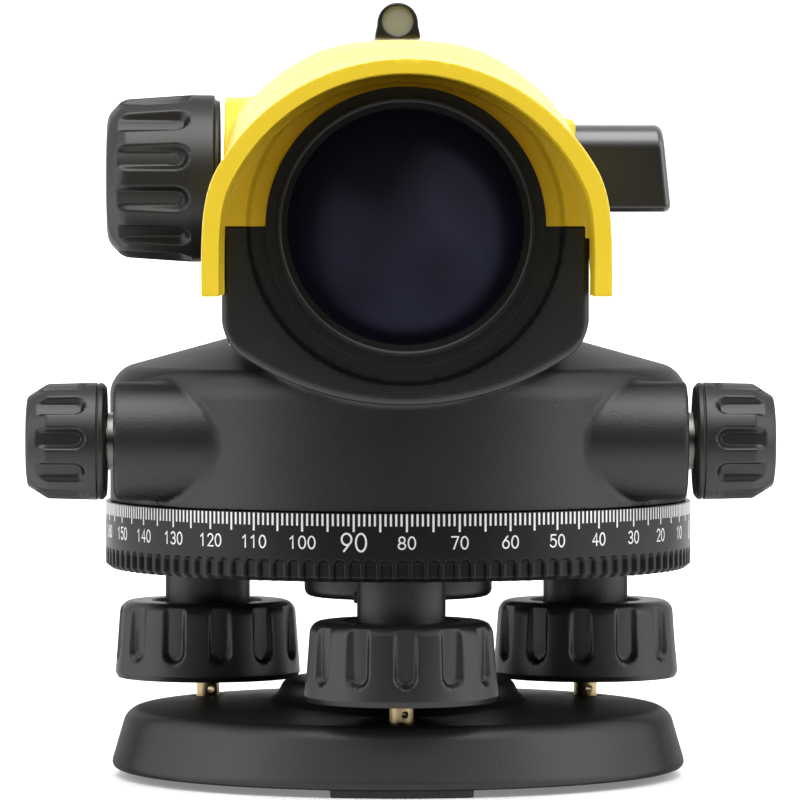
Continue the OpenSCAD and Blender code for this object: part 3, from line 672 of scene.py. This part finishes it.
def build_ring():
    """A skirt with the scale, carried by a thin web. Extra rows give the notches their round tops."""
    inner, top = RING_R - 2.1, RING_HIGH + 0.2
    bore, web_low, web_high = 24.05, 40.6, 42.4
    rows = outline([
        (inner, RING_LOW, 0.2), (RING_R - 0.9, RING_LOW, 0), (RING_R, RING_LOW + 0.7, 0.3),
        (RING_R, top, 0.12), (inner, top, 0.2), (inner, web_high, 0),
        (bore, web_high, 0), (bore, web_low, 0), (inner, web_low, 0),
    ], 4)
    extra = [(RING_R, z) for z in np.arange(RING_LOW + 1.2, RING_LOW + 4.0, 0.14)]
    at = next(i for i, p in enumerate(rows) if p[1] > RING_LOW + 0.8 and p[0] > RING_R - 0.01) + 1
    rows = np.insert(rows, at, extra, axis=0)
    ring = revolve("graduated_ring_body", rows, NOTCHES * 12, wall=ring_wall)
    dress(ring, "ring_black", "circle_ring", "graduated_ring")


def stroke_digit(digit):
    """Strokes of a plain sans figure, one unit high and about 0.62 wide, each as a list of points."""
    def arc(cx, cz, rx, rz, start, end, steps=14):
        angles = [math.radians(start + (end - start) * k / steps) for k in range(steps + 1)]
        return [(cx + rx * math.cos(a), cz + rz * math.sin(a)) for a in angles]
    figures = {
        "0": [arc(0.31, 0.5, 0.29, 0.5, 90, 450, 28)],
        "1": [[(0.08, 0.78), (0.31, 1.0), (0.31, 0.0)]],
        "2": [arc(0.31, 0.72, 0.27, 0.28, 165, -35) + [(0.04, 0.0), (0.6, 0.0)]],
        "3": [arc(0.29, 0.74, 0.25, 0.26, 155, -90) + arc(0.29, 0.25, 0.29, 0.25, 90, -155)],
        "4": [[(0.46, 0.0), (0.46, 1.0), (0.02, 0.3), (0.64, 0.3)]],
        "5": [[(0.56, 1.0), (0.13, 1.0), (0.07, 0.53)] + arc(0.3, 0.33, 0.3, 0.33, 130, -150)],
        "6": [arc(0.31, 0.32, 0.28, 0.32, 130, -230, 24) + [(0.46, 0.99)]],
        "7": [[(0.04, 1.0), (0.6, 1.0), (0.22, 0.0)]],
        "8": [arc(0.31, 0.75, 0.24, 0.25, -90, 270, 22), arc(0.31, 0.25, 0.29, 0.25, 90, 450, 22)],
        "9": [arc(0.31, 0.68, 0.28, 0.32, 310, -50, 24) + [(0.16, 0.01)]],
    }
    return figures[digit]


def ribbon(points, width):
    """A flat outline along a line of points, with round ends. Returns points and faces."""
    p = np.array(points, float)
    closed = np.linalg.norm(p[0] - p[-1]) < 1e-6
    if closed:
        p = p[:-1]
    before = np.roll(p, 1, axis=0) if closed else np.vstack([2 * p[0] - p[1], p[:-1]])
    after = np.roll(p, -1, axis=0) if closed else np.vstack([p[1:], 2 * p[-1] - p[-2]])
    d1 = (p - before) / np.linalg.norm(p - before, axis=1)[:, None]
    d2 = (after - p) / np.linalg.norm(after - p, axis=1)[:, None]
    side = d1 + d2
    side /= np.linalg.norm(side, axis=1)[:, None]
    stretch = np.clip(1 / np.maximum((side * d1).sum(1), 0.4), 1, 1.6)
    across = np.stack([-side[:, 1], side[:, 0]], 1) * (stretch * width / 2)[:, None]
    left, right = p + across, p - across
    count = len(p)
    verts = np.vstack([left, right])
    last = count if closed else count - 1
    quads = [[i, (i + 1) % count, count + (i + 1) % count, count + i] for i in range(last)]
    if closed:
        return verts, quads
    verts = list(verts)
    for end, way, a, b in ((p[0], -d2[0], 0, count), (p[-1], d1[-1], count - 1, 2 * count - 1)):
        base = len(verts)
        start = math.atan2(*(verts[a] - end)[::-1])
        sweep = math.pi if np.cross(verts[a] - end, way) > 0 else -math.pi
        for k in range(1, 6):
            t = start + sweep * k / 6
            verts.append(end + width / 2 * np.array([math.cos(t), math.sin(t)]))
        quads.append([a] + list(range(base, base + 5)) + [b])
    return np.array(verts), quads


def wrap(shapes, radius, thick):
    """Bends flat shapes (rightwards, height) round the ring and gives them thickness."""
    points, faces = [], []
    for verts, polygons in shapes:
        base = len(points)
        count = len(verts)
        for r in (radius - thick, radius + 0.015):
            for s, z in verts:
                a = s / radius
                points.append((r * math.cos(a), r * math.sin(a), z))
        edges = {}
        for f in polygons:
            outer = [base + count + i for i in f]
            inner = [base + i for i in f][::-1]
            if signed_area([verts[i] for i in f]) < 0:
                outer, inner = outer[::-1], inner[::-1]
                f = f[::-1]
            faces += [outer, inner]
            for a, b in zip(f, f[1:] + f[:1]):
                if (b, a) in edges:
                    edges.pop((b, a))
                else:
                    edges[(a, b)] = True
        faces += [[base + a, base + b, base + count + b, base + count + a] for a, b in edges]
    return points, faces


def tick_shape(degree, at, top):
    """A tick, longer at every fifth degree."""
    half = 0.165
    low = top - (2.75 if degree % 5 == 0 else 1.86)
    return [(at - half, low), (at + half, low), (at + half, top), (at - half, top)], [[0, 1, 2, 3]]


def figure_shapes(degree, at, top):
    """The figures of a degree, larger at the quarters of the circle."""
    size, gap = (2.74, 3.0) if degree % 90 == 0 else (1.86, 3.5)
    step = size * 0.82
    text = str(degree)
    start = at - step * len(text) / 2 + size * 0.1
    shapes = []
    for k, digit in enumerate(text):
        for line in stroke_digit(digit):
            verts, quads = ribbon([(u * size, v * size) for u, v in line], 0.165 * size ** 0.6)
            verts = verts + [start + k * step, top - gap - size]
            shapes.append(([tuple(v) for v in verts], quads))
    return shapes


def build_marks():
    """Ticks at every degree and figures at every tenth, falling towards the right."""
    facing = 80.85  # the reading that faces the front
    top = RING_HIGH + 0.06
    shapes = []
    for degree in range(360):
        at = math.radians(-90 + (facing - degree)) * RING_R
        shapes.append(tick_shape(degree, at, top))
        if degree % 10 == 0:
            shapes += figure_shapes(degree, at, top)
    points, faces = wrap(shapes, RING_R, 0.15)
    marks = new_piece("circle_graduation", points, faces)
    marks.data.shade_flat()
    dress(marks, "mark_white", "circle_ring", slot="ring_black")


# ---------- housings ----------

def half_width(y):
    """Half the width of the telescope housing, which narrows behind TAPER_Y with a soft knee."""
    v = y - TAPER_Y
    ramp = (v + np.sqrt(v * v + 30)) / 2
    return BODY_HALF - (BODY_HALF - REAR_HALF) / (REAR_Y - TAPER_Y) * ramp


def trough_field(x, y, z, inset, corner):
    """Straight sides and a bowed bottom that is higher behind the drum."""
    bow_r = 43.8
    bottom = 61.8 + 2.7 * eased(y, 48, 60)
    sides = np.abs(x) - half_width(y) + inset
    bow = np.hypot(x, z - bottom - bow_r) - bow_r + inset
    return common(sides, bow, corner)


def drive_boss(x, y, z):
    """The two bosses that carry the drive shaft."""
    return rod(y - DRIVE_Y, z - DRIVE_Z, np.abs(x), 9.3, 28, 44.8, 0.7)


def sight_radius(x, z):
    """Distance from the telescope's line of sight."""
    return np.hypot(x, z - SIGHT_Z)


def screw_radius(x, y):
    """Distance from the axis of the nearest cover screw."""
    return np.minimum.reduce([np.hypot(np.abs(x) - sx, y - sy) for sx, sy in COVER_SCREWS])


def front_recess(x, y, z):
    """A shallow recess round the objective with a softly sloping rim."""
    r = sight_radius(x, z)
    depth = RECESS_DEEP * (1 - eased(r, RECESS_R - 1, RECESS_R))
    return common(r - RECESS_R - 0.4, y - FACE_Y - depth)


def lower_field(x, y, z):
    """The drum with its sloping roof and drive bosses, joined to the trough of the telescope."""
    r = np.hypot(x, y)
    slope = 0.2757
    roof = (z - 65.5 + slope * (r - 44.5)) / math.hypot(1, slope)
    drum = common(common(r - DRUM_R, roof, 3.6), DRUM_LOW - z, 0.15)
    trough = common(trough_field(x, y, z, 0, 2.6), slab(y, FACE_Y, REAR_Y), 1.2)
    body = join(drum, trough, 1.8)
    body = join(body, drive_boss(x, y, z), 0.7)
    # reading nick over the circle
    along, across = turned(x, y, -126)
    body = cut(body, common(common(np.abs(across) - 0.3, DRUM_R - 0.8 - along), z - DRUM_LOW - 0.7))
    chamber = common(common(r - 44, z - 62, 1.5), -drive_boss(x, y, z))
    inside = common(trough_field(x, y, z, WALL, 2.7), slab(y, FACE_Y + FRONT_BLOCK, REAR_Y - END_WALL), 1)
    inside = common(inside, 67.5 - z, 0.8)
    columns = screw_radius(x, y)
    inside = cut(inside, columns - 3.2)
    body = cut(cut(body, chamber), inside)
    body = common(body, z - JOINT_Z, 0.4)
    body = cut(body, common(sight_radius(x, z) - CELL_R + 0.4, y - FACE_Y - CELL_BORE_DEEP))
    body = cut(body, front_recess(x, y, z))
    body = cut(body, common(sight_radius(x, z) - EYE_BORE_R, REAR_Y - EYE_BORE_DEEP - y), 0.2)
    body = cut(body, np.hypot(y - DRIVE_Y, z - DRIVE_Z) - 4.52, 0.15)
    return cut(body, np.minimum(common(columns - 2.9, z - 73.5), columns - 1.6))


def arch_field(x, y, z, inset):
    """Section of the cover: an arch over straight sides, lowest at the hood and highest over the drum."""
    rise = eased(y, -80, -20)
    fall = eased(y, 24, REAR_Y + 12)
    arch_r = 32.1 - 0.2 * rise - 10 * fall
    centre = 81 + 5.5 * rise + 2 * fall
    wide = HOOD_HALF - (HOOD_HALF - BODY_HALF) * eased(y, -76, -60)
    wide = np.minimum(wide, half_width(y) + HOOD_HALF - BODY_HALF)
    half = wide if inset == 0 else np.minimum(wide, half_width(y)) - inset
    half = np.where(y > -60, half_width(y) - inset, half)
    arch = common(np.hypot(x, z - centre) - arch_r + inset, z - COVER_TOP + inset, 3)
    return meet(arch, np.abs(x) - half, 2.4)


def cover_field(x, y, z):
    """The upper cover with the hood over the objective and the pads of the focus knob and level."""
    arch = arch_field(x, y, z, 0)
    focus_pad = common(rod(y - FOCUS_Y, z - FOCUS_Z, x, 13, -27.7, -12, 0.5), JOINT_Z - z, 0.3)
    bubble_pad = block(x, y, z, [10, -4, 90], [28.4, 20, 105.4], 1.2)
    body = common(arch, slab(y, HOOD_Y, REAR_Y), 0.3)
    body = join(join(body, focus_pad, 1.2), bubble_pad, 1.2)
    low = EAR_Z + (JOINT_Z - EAR_Z) * eased(y, -81, -62)
    body = common(body, low - z, 0.35)
    # room for the trough
    seat = common(common(np.abs(x) - BODY_HALF - 0.3, z - JOINT_Z - 0.05), FACE_Y - 0.02 - y)
    body = cut(body, seat, 0.25)
    # inside of the hood
    section = meet(np.hypot(x, z - 82.15) - 28.8, np.abs(x) - 27.6, 1.5)
    body = cut(body, common(section, y - FACE_Y, 1.2), 0.12)
    body = cut(body, common(section + 1.1, front_recess(x, y, z)))
    shell = common(arch_field(x, y, z, WALL), slab(y, FACE_Y + END_WALL, REAR_Y - END_WALL), 1)
    shell = common(shell, 80 - z)
    columns = screw_radius(x, y)
    shell = cut(shell, common(columns - 3, z - 94.9))
    body = cut(body, shell)
    body = cut(body, common(sight_radius(x, z) - CELL_R - 0.05, y - FACE_Y - CELL_BORE_DEEP), 0.1)
    body = cut(body, common(sight_radius(x, z) - EYE_BORE_R, REAR_Y - EYE_BORE_DEEP - y), 0.3)
    body = cut(body, common(np.hypot(y - FOCUS_Y, z - FOCUS_Z) - 4.5, slab(x, -40, -10)), 0.2)
    return cut(body, common(columns - 1.5, z - 94))


def build_housings():
    low, high = [-DRUM_R, FACE_Y, DRUM_LOW], [DRUM_R, REAR_Y, JOINT_Z]
    lower = cast("lower_housing_casting", lower_field, low, high, 0.6)
    dress(lower, "drum_paint", "instrument", "lower_housing")
    low, high = [-HOOD_HALF, HOOD_Y, EAR_Z], [HOOD_HALF, REAR_Y, COVER_TOP]
    cover = cast("upper_cover_moulding", cover_field, low, high, 0.5)
    dress(cover, "cover_plastic", "instrument", "upper_cover")


# ---------- controls ----------

def build_focus_knob():
    length = focus_high[0] - focus_low[0]
    rows = subdivide(outline([
        (2.55, 0, 0), (FOCUS_R - 1.0, 0, 0.25), (FOCUS_R - 0.8, 0.7, 0.3), (FOCUS_R - 0.05, 0.9, 0.3),
        (FOCUS_R, 4.5, 0), (FOCUS_R - 0.75, length - 2.5, 3), (FOCUS_R - 3.4, length, 3.2),
        (0, length, 0), (0, length - 1.5, 0), (2.55, length - 1.5, 0),
    ], 8), 0.4)
    grooved = flutes(12, 4.2, FOCUS_R - 1.5, 4.7, math.radians(15), edge=1.0)
    knob = revolve("focus_knob_moulding", rows, 360, "-x", (-28.5, FOCUS_Y, FOCUS_Z), grooved)
    dress(knob, "knob_plastic", "focus_drive", "focus_knob")


def build_drive_knobs():
    length = drive_high[0] - drive_low[0]
    rows = subdivide(outline([
        (3.02, 0, 0), (DRIVE_R - 0.7, 0, 0.2), (DRIVE_R - 0.1, 0.5, 0.3), (DRIVE_R, 1.1, 0.2),
        (DRIVE_R - 0.22, 1.3, 0.12), (DRIVE_R, 1.55, 0.2), (DRIVE_R - 0.2, length - 3.4, 1.4),
        (DRIVE_R - 2.2, length - 0.2, 0.8), (DRIVE_R - 3.6, length, 2), (0, length, 0),
        (0, length - 1.6, 0), (3.02, length - 1.6, 0),
    ], 6), 0.34)
    for side, way, axis in (("left", -1, "-x"), ("right", 1, "+x")):
        grooved = flutes(10, 3.5, DRIVE_R - 1.25, 3.1, -way * math.radians(22.5), edge=0.8)
        at = (way * drive_low[0], DRIVE_Y, DRIVE_Z)
        knob = revolve(side + "_drive_knob_moulding", rows, 320, axis, at, grooved)
        dress(knob, "knob_plastic", "horizontal_drive", side + "_drive_knob")


def spindle_field(x, y, z):
    """A foot screw's spindle about its own axis: ball, tip with a cross hole, collar and thread."""
    r = np.hypot(x, y)
    ball = np.sqrt(r * r + (z - 6.6) ** 2) - 2.6
    tip = common(r - 1.9, slab(z, 6.6, 15), 0.15)
    collar = common(r - 3.05, slab(z, FOOT_LOW - 0.3, FOOT_LOW + 0.4), 0.1)
    helix = np.sin(TAU * (z / 0.75) + np.arctan2(y, x))
    thread = common(r - 2.95 - 0.12 * helix, slab(z, FOOT_LOW, 33.9), 0.2)
    body = np.minimum(join(ball, tip, 0.3), np.minimum(collar, thread))
    _, across = turned(x, y, -72)
    return cut(body, np.hypot(across, z - 12.4) - 0.55, 0.08)


def build_spindles():
    for name, (px, py) in FEET.items():
        spindle = cast(name + "_foot_spindle_turning", lambda x, y, z: spindle_field(x - px, y - py, z),
                       [px - 3.1, py - 3.1, 4], [px + 3.1, py + 3.1, 34], 0.17)
        dress(spindle, "brass", name + "_foot_screw", name + "_foot_spindle")


# ---------- optics ----------

def build_objective_cell():
    front, length = FACE_Y - 4, 22
    rows = outline([
        (17.4, 3.9, 0.1), (17.6, 2.4, 0.1), (18.45, 1.1, 0.15), (18.8, 0.85, 0.1), (18.85, 0.0, 0.1),
        (19.1, 0.0, 0.1), (19.25, 0.3, 0.1), (CELL_R, 0.3, 0.06),
        (CELL_R, length, 0.3), (18.5, length, 0.2), (18.5, 5, 0), (17.4, 5, 0),
    ], 5)
    cell = revolve("objective_cell_turning", rows, 256, "+y", (0, front, SIGHT_Z))
    dress(cell, "black_metal", "instrument", "objective_cell")


def build_objective_glass():
    """A lens with the same bend in front and behind."""
    bend, lens_r, front, back = 80, 18.4, 1.2, 9.6
    r = np.linspace(0, lens_r, 24)
    sag = bend - np.sqrt(bend * bend - r * r)
    rows = np.vstack([np.stack([r, front + sag], 1), np.stack([r, back - sag], 1)[::-1]])
    lens = revolve("objective_glass", rows, 160, "+y", (0, FACE_Y, SIGHT_Z))
    dress(lens, "coated_glass", "instrument", "objective_lens")


def build_eyepiece_mount():
    rows = outline([
        (11.6, -EYE_BORE_DEEP, 0), (EYE_MOUNT_R, -EYE_BORE_DEEP, 0.1), (EYE_MOUNT_R, 0, 0), (17, 0, 0.1),
        (17, 2.6, 0.5), (14.6, 2.6, 0.1), (EYE_MOUNT_R, 2.9, 0.1), (EYE_MOUNT_R, 15, 0.2),
        (11.6, 15, 0.2),
    ], 5)
    mount = revolve("eyepiece_mount_turning", rows, 192, "+y", (0, REAR_Y, SIGHT_Z))
    dress(mount, "black_metal", "instrument", "eyepiece_mount")


def build_diopter_ring():
    outer = diopter_high[0]
    length = diopter_high[1] - diopter_low[1]
    rows = subdivide(outline([
        (EYE_BORE_R, 0, 0), (outer - 0.3, 0, 0.5), (outer, 1.8, 0.3), (outer, length - 1.2, 0.9),
        (outer - 0.7, length, 0.3), (EYE_BORE_R, length, 0),
    ], 6), 0.4)
    grooved = flutes(24, 2.4, outer - 0.8, 2.6, edge=0.6)
    ring = revolve("diopter_ring_moulding", rows, 24 * 14, "+y", (0, diopter_low[1], SIGHT_Z), grooved)
    dress(ring, "knob_plastic", "diopter", "diopter_ring")


def build_eyecup():
    """A rubber cup with three soft ribs."""
    end = CUP_END - diopter_high[1]
    corners = [(12.3, -2.5, 0), (EYE_MOUNT_R, -2.5, 0), (EYE_MOUNT_R, 0.02, 0), (15.9, 0.02, 0.4)]
    for k in range(3):
        corners += [(15.75 - 0.3 * k, 2.0 + 2.2 * k, 0.35), (15.25 - 0.3 * k, 3.0 + 2.2 * k, 0.35)]
    corners += [(14.9, 9.2, 0.6), (14.25, end - 0.1, 0.7), (12.75, end, 0.6), (12.3, 9, 1)]
    rows = subdivide(outline(corners, 6), 0.6)
    cup = revolve("eyecup_moulding", rows, 192, "+y", (0, diopter_high[1], SIGHT_Z))
    dress(cup, "rubber", "diopter", "eyecup")


def bubble_field(x, y, z):
    """Rounded box of the circular level, with a leaning end, hollow and open towards the eyepiece."""
    top = bubble_high[2]
    lean = 0.1
    end = (x - bubble_high[0] + lean * (z - bubble_low[2] - 1)) / math.hypot(1, lean)
    profile = block(0 * x, y, z, [-50, -2, bubble_low[2]], [50, 18, top], 1.1)
    upper = block(0 * x, y, z, [-50, -2, bubble_low[2] - 10], [50, 18, top], 4.2)
    body = common(common(np.maximum(profile, upper), end, 1.3), bubble_low[0] - x)
    inner_low = [bubble_low[0] - 5, -0.8, bubble_low[2] + 1.2]
    inner_high = [bubble_high[0] - 2.6, 16.8, top - 1.2]
    body = cut(body, block(x, y, z, inner_low, inner_high, 2.5))
    window = block(x, y, z, [31, 12, 93.6], [41, 30, 103], 0.3)
    return cut(body, window, 0.3)


def sight_field(x, y, z):
    """The open sight: an arch that widens towards its foot, with a pocket at each end."""
    top = sight_high[2]
    centre = OPEN_SIGHT_Z - 0.3
    arch = np.hypot(x, np.maximum(z - centre, 0)) - (top - centre) - 0.35 * eased(centre - z, 0, 2.2)
    body = common(common(arch, sight_low[2] - z), slab(y, sight_low[1], sight_high[1]), 0.3)
    radius = np.hypot(x, z - OPEN_SIGHT_Z)
    front = common(radius - 2.62, y - sight_low[1] - 1.4)
    rear = common(radius - 2.2, sight_high[1] - 2 - y)
    return cut(cut(body, np.minimum(front, rear), 0.1), radius - 1.6)


def build_fittings():
    level = cast("bubble_housing_moulding", bubble_field, bubble_low, bubble_high, 0.3)
    dress(level, "polished_plastic", "instrument", "bubble_housing", slot="black_plastic")
    sight = cast("sight_housing_moulding", sight_field, sight_low - 0.4, sight_high + 0.4, 0.2)
    dress(sight, "black_plastic", "instrument", "sight_housing")
    low, high = span("sight_lenses")
    discs = (("front_sight_glass", low[1], 2.6, "-y"), ("rear_sight_glass", high[1], 2.15, "+y"))
    for name, y, radius, way in discs:
        rows = outline([(0, 0, 0), (0, -1.2, 0), (radius, -1.2, 0.05), (radius, -0.15, 0.15)], 4)
        lens = revolve(name, rows, 64, way, (0, y, OPEN_SIGHT_Z))
        dress(lens, "sight_disc", "instrument", "sight_lenses", slot="glass")


# ---------- studio ----------

WHITE = (1, 1, 1, 1)


def y_place(tree, space):
    """The Y coordinate in a texture space."""
    split = add_node(tree, "SeparateXYZ")
    tree.links.new(add_node(tree, "TexCoord").outputs[space], split.inputs["Vector"])
    return split.outputs["Y"]


def camera_ray(tree):
    """1 for what the camera sees directly and 0 for reflections and shadows."""
    return add_node(tree, "LightPath").outputs["Is Camera Ray"]


def floor_material():
    """Pale, glowing by its own emission more strongly towards the back, which is painted light as the
    floor is no lamp, and black to reflections in front of the object, like a black card, which is painted
    shade.
    """
    mat = material("floor_pale", (0.92, 0.92, 0.92), 0.6, grain=0.05, grain_size=3, spots=0.01)
    tree = mat.node_tree
    link = tree.links.new
    shader = tree.nodes["Principled BSDF"]
    backwards = y_place(tree, "Object")
    # painted light: emission makes the floor glow, rising towards the back
    glow = graded(tree, backwards, 0.2, 1.4, 0.2, 0.8, blend="LINEAR")
    link(glow, shader.inputs["Emission Strength"])
    shader.inputs["Emission Color"].default_value = WHITE
    # painted shade: reflections and bounced light see the floor in front of the object as black
    shown = add_node(tree, "Math", operation="MAXIMUM")
    link(camera_ray(tree), shown.inputs[0])
    link(graded(tree, backwards, -0.35, 0.0, 0.1, 1), shown.inputs[1])
    black = add_node(tree, "Emission", {"Strength": 0})
    blend = add_node(tree, "MixShader")
    link(shown.outputs["Value"], blend.inputs["Fac"])
    link(black.outputs["Emission"], blend.inputs[1])
    link(shader.outputs["BSDF"], blend.inputs[2])
    link(blend.outputs["Shader"], tree.nodes["Material Output"].inputs["Surface"])
    return mat


def build_floor():
    """A pale floor that sweeps up into a backdrop. Sizes are in metres."""
    half, front, flat_end, bend, top = 4.0, -2.5, 1.5, 1.2, 2.5
    path = [(front, 0), (flat_end, 0)]
    for a in np.linspace(0, math.pi / 2, 16)[1:]:
        path.append((flat_end + bend * math.sin(a), bend * (1 - math.cos(a))))
    path.append((flat_end + bend, top))
    points = [(x / MM, y / MM, z / MM) for y, z in path for x in (-half, half)]
    faces = [[2 * i, 2 * i + 1, 2 * i + 3, 2 * i + 2] for i in range(len(path) - 1)]
    floor = new_piece("studio_floor", points, faces)
    floor.data.materials.append(floor_material())


def softbox(name, place, size, power):
    """A rectangular light aimed at the middle of the object."""
    light = bpy.data.lights.new(name, "AREA")
    light.shape = "RECTANGLE"
    light.size, light.size_y = size
    light.energy = power
    lamp = bpy.data.objects.new(name, light)
    lamp.location = place
    aim = Vector((0, 0, 0.06)) - Vector(place)
    lamp.rotation_euler = aim.to_track_quat("-Z", "Y").to_euler()
    bpy.context.scene.collection.objects.link(lamp)


def build_light():
    """A light tent: bright above, behind and at the sides, darker towards the camera."""
    world = bpy.data.worlds.new("tent")
    bpy.context.scene.world = world
    world.use_nodes = True
    tree = world.node_tree
    background = tree.nodes["Background"]
    background.inputs["Color"].default_value = WHITE
    mix = add_node(tree, "Mix", {"B": 1.0}, data_type="FLOAT")
    tree.links.new(camera_ray(tree), mix.inputs["Factor"])
    tree.links.new(graded(tree, y_place(tree, "Generated"), -0.97, -0.5, 0.02, 1), mix.inputs["A"])
    tree.links.new(mix.outputs["Result"], background.inputs["Strength"])
    softbox("overhead", (0, -0.45, 1.2), (1.2, 1.0), 15.5)
    softbox("front_strip", (0.1, -0.95, 0.78), (0.9, 0.3), 0.7)
    softbox("left_side", (-1.1, -0.35, 0.45), (0.7, 0.9), 3.2)
    softbox("right_side", (1.1, -0.35, 0.5), (0.7, 0.9), 3.8)


def build_camera():
    """A long lens about a metre in front, a little above the object and to its left."""
    data = bpy.data.cameras.new("camera")
    data.lens = 291.9
    data.sensor_width = 36
    camera = bpy.data.objects.new("camera", data)
    camera.location = (-0.0145, -1.043, 0.0924)
    aim = Vector((0.0003, 0, 0.0602)) - Vector(camera.location)
    camera.rotation_euler = aim.to_track_quat("-Z", "Y").to_euler()
    bpy.context.scene.collection.objects.link(camera)
    bpy.context.scene.camera = camera
    bpy.context.scene.view_settings.view_transform = "Standard"


dress_nodes()
build_base()
build_foot_screws()
build_spindles()
build_head()
build_ring()
build_marks()
build_housings()
build_focus_knob()
build_drive_knobs()
build_objective_cell()
build_objective_glass()
build_eyepiece_mount()
build_diopter_ring()
build_eyecup()
build_fittings()
build_floor()
build_light()
build_camera()
